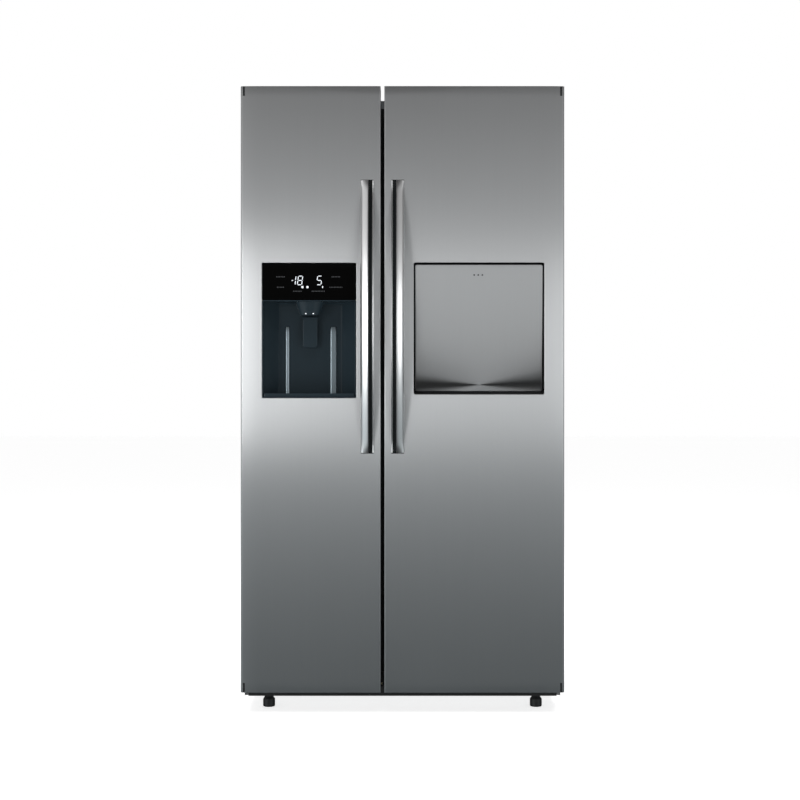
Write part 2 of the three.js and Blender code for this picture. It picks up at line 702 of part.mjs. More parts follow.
function doorCap(door, top) {
  const z0 = top ? DOOR_TOP - CAP_H : DOOR_BOTTOM;
  const z1 = z0 + CAP_H;
  const y0 = DOOR_FRONT + CAP_SETBACK + GAP;
  const front = DOOR_FRONT + SHEET + GAP;
  const body = join(
    box(door.x0, door.x1, y0, DOOR_BACK, z0, z1),
    box(door.x0 + DOOR_EDGE_R, door.x1 - DOOR_EDGE_R, front, y0 + 1, z0, z1),
  );
  const bore = PIN_LEN + 2;
  const [a, b] = top ? [z1 - bore, z1 + 1] : [z0 - 1, z0 + bore];
  return cut(body, cylinder('z', PIN_R + PIN_FIT, a, b, place(door.side, PIVOT_X), PIVOT_Y));
}

// the dike: the raised, ring-shaped rib of the inner liner that carries the bins
function dikeBox(door, cavity, inset) {
  const seamSide = DIKE_SEAM + inset;
  const hingeSide = DIKE_HINGE + inset;
  return {
    x0: cavity.x0 + (door.side > 0 ? seamSide : hingeSide),
    x1: cavity.x1 - (door.side > 0 ? hingeSide : seamSide),
    z0: CAVITY_FLOOR + 14 + inset,
    z1: CAVITY_TOP - 14 - inset,
  };
}

// the stretch of the freezer door that bulges into the cavity behind the dispenser
function bulge(inset, front) {
  const o = dikeBox(freezerDoor, freezerCavity, 0);
  return box(
    o.x0 + inset, o.x1 - inset, front, BULGE_BACK - inset,
    housing.z0 - BULGE_MARGIN + inset, housing.z1 + BULGE_MARGIN - inset,
  );
}

function doorLiner(door, cavity, holes, extra) {
  const sheet = box(
    door.x0 + SHEET + GAP, door.x1 - SHEET - GAP, DOOR_BACK - LINER, DOOR_BACK,
    DOOR_BOTTOM + CAP_H + GAP, DOOR_TOP - CAP_H - GAP,
  );
  const o = dikeBox(door, cavity, 0);
  const i = dikeBox(door, cavity, DIKE_W);
  const dike = cut(
    box(o.x0, o.x1, DOOR_BACK - 1, DOOR_BACK + DIKE_D, o.z0, o.z1),
    box(i.x0, i.x1, DOOR_BACK - 2, DOOR_BACK + DIKE_D + 1, i.z0, i.z1),
  );
  return cut(join(sheet, dike, ...extra), ...holes);
}

function doorFoam(door, holes, extra) {
  const block = box(
    door.x0 + SHEET + GAP, door.x1 - SHEET - GAP, DOOR_FRONT + DOOR_EDGE_R + GAP, DOOR_BACK - LINER - GAP,
    DOOR_BOTTOM + CAP_H + GAP, DOOR_TOP - CAP_H - GAP,
  );
  const front = box(
    door.x0 + DOOR_EDGE_R, door.x1 - DOOR_EDGE_R, DOOR_FRONT + SHEET + GAP, DOOR_FRONT + DOOR_EDGE_R + 1,
    DOOR_BOTTOM + CAP_H + GAP, DOOR_TOP - CAP_H - GAP,
  );
  return cut(join(block, front, ...extra), ...holes);
}

function doorGasket(cavity) {
  const o = CAVITY_LIP + GASKET_W;
  const i = CAVITY_LIP;
  const y0 = DOOR_BACK + GAP;
  return cut(
    box(cavity.x0 - o, cavity.x1 + o, y0, -GAP, CAVITY_FLOOR - o, CAVITY_TOP + o),
    box(cavity.x0 - i, cavity.x1 + i, y0 - 1, 1, CAVITY_FLOOR - i, CAVITY_TOP + i),
  );
}

function handle(door) {
  const near = HANDLE_FROM_SEAM;
  const [x0, x1] = door.side > 0
    ? [SEAM_X + near, SEAM_X + near + HANDLE_W] : [SEAM_X - near - HANDLE_W, SEAM_X - near];
  const z0 = DOOR_BOTTOM + HANDLE_BOTTOM;
  const half = HANDLE_LEN / 2;
  const zc = z0 + half;
  const arch = (reach) => {
    const radius = (half ** 2 + reach ** 2) / (2 * reach);
    return { radius, y: DOOR_FRONT - reach + radius, angle: Math.asin(half / radius) };
  };
  const outer = arch(HANDLE_REACH);
  const s = new THREE.Shape();
  s.absarc(outer.y, zc, outer.radius, Math.PI - outer.angle, Math.PI + outer.angle, false);
  const bow = extrude(s, x1 - x0, alongX(x0), 28);
  const r = outer.radius - HANDLE_T;
  const hollow = cylinder('x', r, x0 - 1, x1 + 1, outer.y, zc, 360);
  const body = cut(
    bow,
    hollow,
    box(x0 - 1, x1 + 1, DOOR_FRONT - GAP, DOOR_FRONT + HANDLE_REACH, z0 - 60, z0 + HANDLE_LEN + 60),
  );
  const section = extrude(
    roundedRect(x0, x1, DOOR_FRONT - HANDLE_REACH, DOOR_FRONT + 20, HANDLE_EDGE_R), HANDLE_LEN, alongZ(z0),
  );
  return body.intersect(section);
}

// ---------- dispenser ----------

// plan view of the recess and, grown by `grow`, of the housing and its pocket in the door
function recessPlan(grow) {
  const s = new THREE.Shape();
  const w = HOUSING_WALL - grow;
  const [x0, x1, y0, y1] = [housing.x0 + w, housing.x1 - w, DOOR_FRONT, DOOR_FRONT + DISPENSER_D - w];
  const r = RECESS_SIDE_R + grow;
  s.moveTo(x0, y0);
  s.lineTo(x1, y0);
  s.lineTo(x1, y1 - r);
  s.absarc(x1 - r, y1 - r, r, 0, Math.PI / 2);
  s.lineTo(x0 + r, y1);
  s.absarc(x0 + r, y1 - r, r, Math.PI / 2, Math.PI);
  return s;
}

const recessColumn = (grow, z0, z1) => extrude(recessPlan(grow), z1 - z0, alongZ(z0), 6);
const dispenserPocket = () =>
  recessColumn(HOUSING_WALL + GAP, housing.z0 - GAP, housing.z1 + GAP);

function dispenserHousing() {
  const w = HOUSING_WALL;
  const back = DOOR_FRONT + DISPENSER_D;
  const face = roundedPlate(
    housing.x0 + GAP, housing.x1 - GAP, DOOR_FRONT, back, housing.z0 + GAP, housing.z1 - GAP, 3,
  );
  const outer = recessColumn(w - GAP, housing.z0, housing.z1).intersect(face);
  const recess = recessColumn(0, housing.z0 + w, RECESS_TOP - w);
  const bay = recessColumn(0, RECESS_TOP + GAP, housing.z1 - w);
  const rebate = box(
    housing.x0, housing.x1, DOOR_FRONT - 1, DOOR_FRONT + DISPLAY_T + GAP, RECESS_TOP, housing.z1,
  );
  const lug = (x0, x1) => box(
    x0, x1, PADDLE_PIVOT_Y - 5, back - 1, PADDLE_PIVOT_Z - 6, PADDLE_PIVOT_Z + 6,
  );
  const half = PADDLE_W / 2 + 1;
  return cut(
    join(
      cut(outer, recess, bay, rebate),
      lug(DISPENSER_X - half - 4, DISPENSER_X - half), lug(DISPENSER_X + half, DISPENSER_X + half + 4),
    ),
    chutePlug(FUNNEL_R - 6, RECESS_TOP - w - 1, RECESS_TOP + 1),
    chutePlug(CHUTE_R + CHUTE_WALL + 3, housing.z1 - w - 1, housing.z1 + 1),
    cylinder(
      'x', PADDLE_PIN_R + GAP, DISPENSER_X - half - 5, DISPENSER_X + half + 5,
      PADDLE_PIVOT_Y, PADDLE_PIVOT_Z, 16,
    ),
  );
}

// side view of the duct that leads ice from under the bucket to the upright tube
function ductOutline(inset, over) {
  const reach = (CHUTE_R + CHUTE_WALL) * CHUTE_OVAL;
  const [y0, y1] = [CHUTE_CY - reach + inset, CHUTE_CY + reach - inset];
  const back = MOUTH_BACK - inset;
  const top = MOUTH_Z + over;
  return polygon([
    [y0, DUCT_Z - over], [y1, DUCT_Z - over], [y1, DUCT_Z + inset], [back, MOUTH_Z - DUCT_H + inset],
    [back, top], [MOUTH_BACK - 24 + inset, top], [y0, DUCT_Z + DUCT_H - 2 - inset],
  ]);
}

const duct = (inset, over) => {
  const half = CHUTE_R + CHUTE_WALL - inset;
  return extrude(ductOutline(inset, over), 2 * half, alongX(DISPENSER_X - half));
};

function iceChute() {
  const t = CHUTE_WALL;
  const z0 = RECESS_TOP - HOUSING_WALL - GAP - FUNNEL_H + 3;
  const neck = RECESS_TOP - HOUSING_WALL - GAP - z0;
  const rise = DUCT_Z + 1 - z0;
  const outer = [
    [0, 0], [CHUTE_R, 0], [FUNNEL_R, neck], [FUNNEL_R - 7, neck],
    [FUNNEL_R - 7, neck + 8], [CHUTE_R + t, neck + 14], [CHUTE_R + t, rise], [0, rise],
  ];
  const bore = [
    [0, -1], [CHUTE_R - t, -1], [CHUTE_R - t, 0], [CHUTE_R, neck + 2], [CHUTE_R, rise], [0, rise],
  ];
  const body = join(
    turned(outer, DISPENSER_X, CHUTE_CY, z0, 32, CHUTE_OVAL),
    duct(0, 0),
  );
  return cut(
    body,
    turned(bore, DISPENSER_X, CHUTE_CY, z0, 32, CHUTE_OVAL),
    duct(t, 1).subtract(box(-WIDTH, WIDTH, DOOR_FRONT, MOUTH_BACK, 0, DUCT_Z + 1)),
    cylinder('x', FLAP_PIN_R + GAP, DISPENSER_X - FUNNEL_R, DISPENSER_X + FUNNEL_R, FLAP_Y, FLAP_Z, 16),
  );
}

function iceFlap() {
  const disc = chutePlug(FLAP_R, FLAP_Z - FLAP_T / 2, FLAP_Z + FLAP_T / 2);
  const pin = cylinder('x', FLAP_PIN_R, DISPENSER_X - 16, DISPENSER_X + 16, FLAP_Y, FLAP_Z, 16);
  return join(disc, pin);
}

function dispenserPaddle() {
  const x0 = DISPENSER_X - PADDLE_W / 2;
  const x1 = DISPENSER_X + PADDLE_W / 2;
  const y = PADDLE_PIVOT_Y;
  const blade = roundedPlate(
    x0, x1, y - PADDLE_T / 2, y + PADDLE_T / 2, PADDLE_PIVOT_Z - PADDLE_H, PADDLE_PIVOT_Z, 6,
  );
  const barrel = cylinder('x', PADDLE_BARREL_R, x0, x1, y, PADDLE_PIVOT_Z, 20);
  const pin = cylinder('x', PADDLE_PIN_R, x0 - 4, x1 + 4, y, PADDLE_PIVOT_Z, 16);
  return join(blade, barrel, pin);
}

function dispenserDisplay() {
  return roundedPlate(
    housing.x0 + GAP, housing.x1 - GAP, DOOR_FRONT, DOOR_FRONT + DISPLAY_T,
    RECESS_TOP + GAP, housing.z1 - GAP, 3,
  );
}

function dripTray() {
  const x0 = housing.x0 + HOUSING_WALL + 2;
  const x1 = housing.x1 - HOUSING_WALL - 2;
  const y0 = DOOR_FRONT + 3;
  const y1 = DOOR_FRONT + DISPENSER_D - HOUSING_WALL - RECESS_SIDE_R;
  const z0 = housing.z0 + HOUSING_WALL + GAP;
  let grid = box(x0, x1, y0, y1, z0, z0 + TRAY_H);
  const slots = 15;
  const pitch = (x1 - x0 - 14) / slots;
  for (let i = 0; i < slots; i += 1) {
    const x = x0 + 7 + pitch * (i + 0.5);
    grid = cut(grid, box(x - pitch * 0.28, x + pitch * 0.28, y0 + 3, y1 - 3, z0 + 2, z0 + TRAY_H + 1));
  }
  return grid;
}

// ---------- home bar ----------

// a pocket for the closed door, a ledge behind it and a smaller tunnel that ends in an open shelf
function barFrame() {
  const w = BAR_WALL;
  const front = DOOR_FRONT + SHEET + GAP;
  const back = front + BAR_BOX_D;
  const t = barTunnel;
  const inDoor = DOOR_BACK + DIKE_D;
  const shell = join(
    box(bar.x0 - w, bar.x1 + w, front, BAR_LEDGE_Y + w, bar.z0 - w, bar.z1 + w),
    box(t.x0 - w, t.x1 + w, BAR_LEDGE_Y, back, t.z0 - w, t.z1 + w),
  );
  return cut(
    shell,
    box(bar.x0, bar.x1, front - 1, BAR_LEDGE_Y, bar.z0, bar.z1),
    box(t.x0, t.x1, BAR_LEDGE_Y - 1, back - w, t.z0, t.z1),
    box(t.x0 - w - 1, t.x1 + w + 1, inDoor, back + 1, t.z0 + BAR_RIM_H, t.z1 + w + 1),
    cylinder('x', BAR_PIN_R + GAP, bar.x0 - w + 0.5, bar.x1 + w - 0.5, BAR_PIVOT_Y, BAR_PIVOT_Z, 16),
  );
}

function barPocketHole() {
  const w = BAR_WALL + GAP;
  return box(bar.x0 - w, bar.x1 + w, DOOR_FRONT - 1, BAR_LEDGE_Y + w, bar.z0 - w, bar.z1 + w);
}

function barTunnelHole() {
  const w = BAR_WALL + GAP;
  const t = barTunnel;
  return box(t.x0 - w, t.x1 + w, DOOR_FRONT - 1, DOOR_BACK + DIKE_D + 1, t.z0 - w, t.z1 + w);
}

const barPanelBox = () => [
  bar.x0 + BAR_GAP, bar.x1 - BAR_GAP, DOOR_FRONT, DOOR_FRONT + BAR_PANEL_T,
  bar.z0 + BAR_GAP_BOTTOM, bar.z1 - BAR_GAP,
];

// its face curves inwards towards the hinge, which gives the dark gap along the bottom
function barPanel() {
  const [x0, x1, y0, y1, z0, z1] = barPanelBox();
  const reach = BAR_GAP + 2;
  const bow = new THREE.Shape();
  const high = z1 - z0;
  const radius = (high ** 2 + BAR_LEAN ** 2) / (2 * BAR_LEAN);
  const turn = Math.asin(high / radius);
  bow.absarc(y0 + radius, z1, radius, Math.PI, Math.PI + turn, false);
  bow.lineTo(y1, z0);
  bow.lineTo(y1, z1);
  const block = extrude(bow, x1 - x0, alongX(x0), 8);
  return join(
    block.intersect(roundedPlate(x0, x1, y0 - 1, y1, z0, z1, BAR_R)),
    cylinder('x', BAR_PIN_R, x0 - reach, x0 + 6, BAR_PIVOT_Y, BAR_PIVOT_Z, 16),
    cylinder('x', BAR_PIN_R, x1 - 6, x1 + reach, BAR_PIVOT_Y, BAR_PIVOT_Z, 16),
  );
}

function barLiner() {
  const t = barTunnel;
  const y0 = DOOR_FRONT + BAR_PANEL_T + GAP;
  const fit = 3;
  const rib = 16;
  const plate = (inset, from, to, r) =>
    roundedPlate(t.x0 + inset, t.x1 - inset, from, to, t.z0 + inset, t.z1 - inset, r);
  return cut(
    plate(fit, y0, y0 + BAR_LINER_T, 10),
    plate(fit + rib, y0 + 3, y0 + BAR_LINER_T + 1, 8),
  );
}

function doorBin(door, cavity, z0) {
  const i = dikeBox(door, cavity, 0);
  const y0 = DOOR_BACK + DIKE_D + GAP;
  return tray(i.x0, i.x1, y0, y0 + BIN_D, z0, z0 + BIN_H, BIN_WALL);
}

// ---------- feet and rollers ----------

function foot(side) {
  return turned([
    [0, 0], [FOOT_R - 3, 0], [FOOT_R, 3], [FOOT_R, 19], [FOOT_R - 7, 26],
    [FOOT_R - 7, BASE_Z - 1], [STEM_R, BASE_Z - 1], [STEM_R, FOAM_BOTTOM - 6], [0, FOAM_BOTTOM - 6],
  ], place(side, FOOT_X), FOOT_Y, 0, 28);
}

function roller(side) {
  const x = place(side, ROLLER_X);
  return cut(
    cylinder('x', ROLLER_R, x - ROLLER_W / 2, x + ROLLER_W / 2, ROLLER_Y, ROLLER_R, 40),
    cylinder('x', AXLE_R + AXLE_FIT, x - ROLLER_W, x + ROLLER_W, ROLLER_Y, ROLLER_R, 24),
  );
}

// ---------- assembly ----------

const group = (...children) => {
  const g = new THREE.Group();
  g.add(...children);
  return g;
};

const sides = [['left', -1], ['right', 1]];
const perSide = (name, make, finish) =>
  sides.map(([word, side]) => part(`${name}_${word}`, make(side), finish));

const cabinet = group(
  part('cabinet_wrapper', cabinetWrapper(), 'greyMetal'),
  part('cabinet_back', rearPanel(), 'zinc'),
  part('cabinet_foam', cabinetFoam(), 'foam'),
  part('freezer_liner', liner(freezerCavity), 'white'),
  part('fridge_liner', liner(fridgeCavity), 'white'),
  part('base_pan', basePan(), 'zinc'),
  part('kick_plate', kickPlate(), 'dark'),
  ...perSide('upper_hinge', upperHinge, 'zinc'),
  ...perSide('hinge_cover', hingeCover, 'dark'),
  ...perSide('lower_hinge', lowerHinge, 'zinc'),
  part('compressor', compressor(), 'black'),
  part('machine_cover', machineCover(), 'zinc'),
);

const freezerInside = group(
  part('evaporator_cover', evaporatorCover(), 'white'),
  part('freezer_drawer_lower', lowerDrawer(freezerCavity), 'clear'),
  part('freezer_drawer_upper', upperDrawer(freezerCavity), 'clear'),
  part('freezer_shelf', shelf(freezerCavity, shelfBetween(SHELF_LOWEST, BUCKET_Z, 0.45)), 'glass'),
  part('ice_bucket', iceBucket(), 'clear'),
  part('ice_maker', iceMaker(), 'white'),
);

const fridgeInside = group(
  part('fridge_air_duct', airDuct(), 'white'),
  part('crisper_lower', lowerDrawer(fridgeCavity), 'clear'),
  part('crisper_upper', upperDrawer(fridgeCavity), 'clear'),
  part('crisper_cover', shelf(fridgeCavity, SHELF_LOWEST), 'glass'),
  part('fridge_shelf', shelf(fridgeCavity, shelfBetween(SHELF_LOWEST, CAVITY_TOP, 0.5)), 'glass'),
);

function doorGroup(name, door, cavity, opening, radius, more) {
  return group(
    part(`${name}_door_skin`, doorSkin(door, opening, radius), 'steel'),
    part(`${name}_door_foam`, doorFoam(door, more.foamHoles, more.foamExtra), 'foam'),
    part(`${name}_door_liner`, doorLiner(door, cavity, more.linerHoles, more.linerExtra), 'white'),
    part(`${name}_door_gasket`, doorGasket(cavity), 'seal'),
    part(`${name}_door_top_cap`, doorCap(door, true), 'dark'),
    part(`${name}_door_bottom_cap`, doorCap(door, false), 'dark'),
    part(`${name}_handle`, handle(door), 'satin'),
  );
}

const ductHole = () => join(
  duct(-2 * GAP, 0),
  chutePlug(CHUTE_R + CHUTE_WALL + 2 * GAP, housing.z1 - 1, DUCT_Z + 1),
);
const freezerDoorGroup = doorGroup('freezer', freezerDoor, freezerCavity, housing, 3, {
  foamHoles: [dispenserPocket(), ductHole()],
  foamExtra: [bulge(LINER + GAP, DOOR_BACK - LINER - GAP - 1)],
  linerHoles: [bulge(LINER, DOOR_BACK - LINER - 1), dispenserPocket(), ductHole()],
  linerExtra: [bulge(0, DOOR_BACK - LINER)],
});
freezerDoorGroup.add(
  part('dispenser_housing', dispenserHousing(), 'recess'),
  part('dispenser_display', dispenserDisplay(), 'black'),
  part('ice_chute', iceChute(), 'recess'),
  part('drip_tray', dripTray(), 'dark'),
  part('freezer_bin_lower', doorBin(freezerDoor, freezerCavity, housing.z0 - BIN_BELOW_BAR), 'clear'),
  part('freezer_bin_upper', doorBin(freezerDoor, freezerCavity, CAVITY_TOP - 14 - BIN_H - 20), 'clear'),
  part('dispenser_paddle', dispenserPaddle(), 'recess'),
  part('ice_flap', iceFlap(), 'dark'),
);

const fridgeDoorGroup = doorGroup('fridge', fridgeDoor, fridgeCavity, bar, BAR_R, {
  foamHoles: [barPocketHole(), barTunnelHole()],
  foamExtra: [],
  linerHoles: [barTunnelHole()],
  linerExtra: [],
});
fridgeDoorGroup.add(
  part('home_bar_frame', barFrame(), 'dark'),
  part('fridge_bin_lower', doorBin(fridgeDoor, fridgeCavity, bar.z0 - BIN_BELOW_BAR), 'clear'),
  part('fridge_bin_upper', doorBin(fridgeDoor, fridgeCavity, bar.z1 + BIN_ABOVE_BAR), 'clear'),
  part('home_bar_panel', barPanel(), 'steel'),
  part('home_bar_liner', barLiner(), 'white'),
);

const turning = group(
  part('ice_auger', iceAuger(), 'zinc'),
  part('evaporator_fan', fan(FAN_R, 14, 20, FREEZER_X, FAN_Y, FAN_Z, 5), 'dark'),
  part('condenser_fan', fan(70, 22, 30, CONDENSER_FAN_X, CONDENSER_FAN_Y, CONDENSER_FAN_Z, 5), 'dark'),
  ...perSide('rear_roller', roller, 'dark'),
  ...perSide('foot', foot, 'dark'),
);

const refrigerator = group(
  cabinet, freezerInside, fridgeInside, freezerDoorGroup, fridgeDoorGroup, turning,
);
refrigerator.position.y = -(DOOR_FRONT - HANDLE_REACH + CABINET_D) / 2;

export default refrigerator;
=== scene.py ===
"""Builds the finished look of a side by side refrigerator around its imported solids."""
import json
from math import asin, atan2, cos, pi, radians, sin, sqrt

import bmesh
import bpy
from bpy.props import FloatProperty, FloatVectorProperty, IntProperty, PointerProperty
from bpy.types import Operator, Panel, PropertyGroup
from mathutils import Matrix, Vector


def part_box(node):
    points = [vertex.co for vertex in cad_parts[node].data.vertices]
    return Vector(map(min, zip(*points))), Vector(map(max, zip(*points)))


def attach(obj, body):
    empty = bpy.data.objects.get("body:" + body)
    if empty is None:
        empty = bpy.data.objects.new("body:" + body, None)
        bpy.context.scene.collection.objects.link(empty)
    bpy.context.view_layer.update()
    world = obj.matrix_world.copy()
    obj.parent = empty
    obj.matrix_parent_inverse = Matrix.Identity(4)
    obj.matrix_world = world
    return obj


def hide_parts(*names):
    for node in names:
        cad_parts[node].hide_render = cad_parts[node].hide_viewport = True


bl_info = {
    "name": "Side by Side Refrigerator",
    "version": (1, 0, 0),
    "blender": (4, 5, 0),
    "location": "View3D > Sidebar > Refrigerator",
    "description": "Builds a side by side refrigerator with an ice dispenser and a home bar door",
    "category": "Object",
}

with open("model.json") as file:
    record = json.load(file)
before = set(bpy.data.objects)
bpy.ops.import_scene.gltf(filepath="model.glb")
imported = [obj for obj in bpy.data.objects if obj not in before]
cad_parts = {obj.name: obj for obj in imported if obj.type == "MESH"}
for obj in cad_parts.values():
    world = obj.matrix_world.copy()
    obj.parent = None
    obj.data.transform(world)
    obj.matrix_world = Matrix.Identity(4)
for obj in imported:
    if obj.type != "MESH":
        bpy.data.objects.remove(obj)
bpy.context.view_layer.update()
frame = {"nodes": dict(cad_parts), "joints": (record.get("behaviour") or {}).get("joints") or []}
NODES = frame["nodes"]
MM = 0.001
WALL = 3 * MM  # of the dispenser's and the home bar's housings
GAP = 0.3 * MM  # kept between pieces that touch
ROOT, FREEZER, FRIDGE, BAR = "root", "freezer_door", "fridge_door", "home_bar_door"
DOORS = (("freezer", FREEZER), ("fridge", FRIDGE))


class Edges:
    """The six faces of a node's box at rest."""

    def __init__(self, node):
        low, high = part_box(node)
        self.x0, self.y0, self.z0 = low
        self.x1, self.y1, self.z1 = high
        self.x, self.y, self.z = (low + high) / 2


# ---- node trees

class Tone:
    """A number that varies over a surface. Sums and products on it add Math nodes."""

    def __init__(self, nodes, socket):
        self.nodes, self.socket = nodes, socket

    def math(self, operation, *terms):
        return self.nodes.node("ShaderNodeMath", {"operation": operation}, dict(enumerate(terms)))

    def __add__(self, other):
        return self.math("ADD", self, other)

    __radd__ = __add__

    def __sub__(self, other):
        return self.math("SUBTRACT", self, other)

    def __rsub__(self, other):
        return self.math("SUBTRACT", other, self)

    def __mul__(self, other):
        return self.math("MULTIPLY", self, other)

    __rmul__ = __mul__

    def __truediv__(self, other):
        return self.math("DIVIDE", self, other)

    def __pow__(self, other):
        return self.math("POWER", self, other)

    def rise(self, low, high):
        """0 below low, 1 above high, and a smooth rise between them."""
        return self.nodes.node(
            "ShaderNodeMapRange", {"interpolation_type": "SMOOTHSTEP", "clamp": True},
            {"Value": self, "From Min": low, "From Max": high},
        )

    def band(self, low, high, soft):
        """1 from low to high, fading out over soft on both sides."""
        return self.rise(low - soft, low) * (1 - self.rise(high, high + soft))


class Nodes:
    """Adds nodes to a tree, with their settings first and their sockets' values or links after."""

    def __init__(self, tree):
        self.tree = tree
        tree.nodes.clear()

    def node(self, kind, settings=None, inputs=None, out=0):
        made = self.tree.nodes.new(kind)
        for key, value in (settings or {}).items():
            setattr(made, key, value)
        for key, value in (inputs or {}).items():
            if isinstance(value, Tone):
                self.tree.links.new(value.socket, made.inputs[key])
            else:
                made.inputs[key].default_value = value
        return Tone(self, made.outputs[out]) if len(made.outputs) else made

    def blend(self, factor, first, second):
        """A colour between two colours."""
        return self.node(
            "ShaderNodeMix", {"data_type": "RGBA"}, {0: factor, 6: first, 7: second}, out=2
        )

    def mottle(self, factor, colour, low, high):
        """A colour that varies between two strengths of itself."""
        return self.blend(factor, rgba(colour, low), rgba(colour, high))

    def place(self, stretch=(1, 1, 1)):
        """Where a point is on the object, stretched."""
        raw = self.node("ShaderNodeTexCoord", out=3)
        return self.node("ShaderNodeMapping", {}, {"Vector": raw, "Scale": stretch})

    def noise(self, scale, detail=3.0, roughness=0.55, stretch=(1, 1, 1)):
        return self.node(
            "ShaderNodeTexNoise", {},
            {"Vector": self.place(stretch), "Scale": scale, "Detail": detail, "Roughness": roughness},
        )

    def bump(self, height, strength, distance):
        return self.node(
            "ShaderNodeBump", {}, {"Strength": strength, "Distance": distance, "Height": height}
        )


def rgba(colour, gain=1.0):
    return (*[min(1.0, c * gain) for c in colour], 1.0)


def shader(name, build, **uniform):
    """A material with one Principled shader; build returns its varying inputs."""
    material = bpy.data.materials.new(name)
    material.use_nodes = True
    nodes = Nodes(material.node_tree)
    inputs = {key.replace("_", " "): value for key, value in uniform.items()}
    inputs.update(build(nodes))
    surface = nodes.node("ShaderNodeBsdfPrincipled", {}, inputs)
    nodes.node("ShaderNodeOutputMaterial", {}, {"Surface": surface})
    return material


def brushed_steel(name, colour):
    """Fine upright grain, with broad faint marks from handling."""
    def build(n):
        grain = n.noise(1.0, 5.0, 0.65, (900, 900, 5))
        streak = n.noise(1.0, stretch=(160, 160, 1.2))
        cloud = n.noise(1.0, stretch=(2.2, 2.2, 1.6))
        return {
            "Base Color": n.mottle(0.45 * grain + 0.3 * streak + 0.25 * cloud, colour, 0.96, 1.04),
            "Roughness": 0.33 + 0.03 * grain + 0.02 * cloud,
            "Normal": n.bump(grain + 0.4 * streak, 0.02, 0.0001),
        }
    return shader(name, build, Metallic=1.0, Anisotropic=0.95)


def textured_paint(colour):
    """Baked paint with a fine pebbled texture."""
    def build(n):
        pebble = n.noise(900.0, 2.0)
        cloud = n.noise(2.5, 3.0)
        return {
            "Base Color": n.mottle(0.5 * pebble + 0.5 * cloud, colour, 0.88, 1.12),
            "Roughness": 0.36 + 0.12 * pebble,
            "Normal": n.bump(pebble, 0.35, 0.0004),
        }
    return shader("grey_cabinet_steel", build, Metallic=0.25)


def satin_aluminium(colour):
    """Extruded bar, drawn lengthwise and clear coated."""
    def build(n):
        drawn = n.noise(1.0, 4.0, stretch=(1400, 1400, 6))
        return {
            "Base Color": n.mottle(drawn, colour, 0.93, 1.05),
            "Roughness": 0.26 + 0.05 * drawn,
            "Normal": n.bump(drawn, 0.04, 0.0001),
        }
    return shader("satin_aluminium", build, Metallic=1.0)


def zinc_plate(colour):
    """Zinc plated sheet with its dull spangle."""
    def build(n):
        spangle = n.node("ShaderNodeTexVoronoi", {}, {"Vector": n.place(), "Scale": 90.0})
        cloud = n.noise(12.0, 4.0)
        return {
            "Base Color": n.mottle(0.6 * spangle + 0.4 * cloud, colour, 0.8, 1.15),
            "Roughness": 0.42 + 0.2 * cloud,
            "Normal": n.bump(cloud, 0.1, 0.0003),
        }
    return shader("zinc_steel", build, Metallic=0.8)


def rigid_foam(colour):
    """Blown foam with open bubbles."""
    def build(n):
        bubbles = n.node("ShaderNodeTexVoronoi", {}, {"Vector": n.place(), "Scale": 400.0})
        cloud = n.noise(20.0, 3.0)
        return {
            "Base Color": n.mottle(cloud, colour, 0.85, 1.08),
            "Roughness": 0.8 + 0.15 * cloud,
            "Normal": n.bump(bubbles, 0.4, 0.001),
        }
    return shader("foam", build)


def moulded_plastic(name, colour, roughness, texture, depth, **uniform):
    """Moulded plastic whose tool texture and gloss vary a little."""
    def build(n):
        pebble = n.noise(texture, 2.0)
        cloud = n.noise(6.0, 3.0)
        return {
            "Base Color": n.mottle(0.4 * pebble + 0.6 * cloud, colour, 0.9, 1.1),
            "Roughness": roughness + 0.25 * roughness * (pebble + cloud - 1),
            "Normal": n.bump(pebble, depth, 0.0002),
        }
    return shader(name, build, **uniform)


def clear_sheet(name, colour, rim, clearness, roughness):
    """Clear plastic or glass: it grows denser where it is seen edge on, and has faint scuffs."""
    def build(n):
        scuff = n.noise(1.0, 5.0, stretch=(40, 40, 40))
        edge = n.node("ShaderNodeLayerWeight", {}, {"Blend": 0.35}, out=1)
        return {
            "Base Color": n.blend(edge, rgba(colour), rgba(rim)),
            "Roughness": roughness + 0.06 * scuff,
            "Alpha": clearness + (0.9 - clearness) * edge ** 2,
        }
    return shader(name, build, IOR=1.5)


def lit_marks(name, colour, strength):
    """The glow of the marks behind the dispenser's glass; the same glow paints the highlights at the
    nozzle's mouth.
    """
    def build(n):
        glow = n.noise(300.0, 1.0)
        tint = n.mottle(glow, colour, 0.8, 1.0)
        return {"Base Color": tint, "Emission Color": tint, "Roughness": 0.3 + 0.1 * glow}
    return shader(name, build, **{"Emission Strength": strength})


# ---- mesh making

def quarter(steps):
    """The angles of a quarter turn, both ends included."""
    return [pi / 2 * i / steps for i in range(steps + 1)]


def grown(box, by):
    """A (low, high, low, high) box made larger by the same amount on each side."""
    return box[0] - by, box[1] + by, box[2] - by, box[3] + by


def at_y(y, outline):
    return [(u, y, v) for u, v in outline]


def at_z(z, outline):
    return [(u, v, z) for u, v in outline]


def rounded(u0, u1, v0, v1, radius, steps=5, side=1):
    """A rectangle with round corners: up its right side, then the same points down its left."""
    r = max(1e-5, min(radius, (u1 - u0) / 2 - 1e-5, (v1 - v0) / 2 - 1e-5))
    turn = quarter(steps)
    right = [(u1 - r + r * sin(a), v0 + r - r * cos(a)) for a in turn]
    right += [(u1, v0 + r + (v1 - v0 - 2 * r) * i / side) for i in range(1, side)]
    right += [(u1 - r + r * cos(a), v1 - r + r * sin(a)) for a in turn]
    return right + [(u0 + u1 - u, v) for u, v in reversed(right)]


def close(bm, ring):
    """Fills a mirrored ring with strips from side to side."""
    for i in range(len(ring) // 2 - 1):
        bm.faces.new((ring[i], ring[i + 1], ring[-2 - i], ring[-1 - i]))


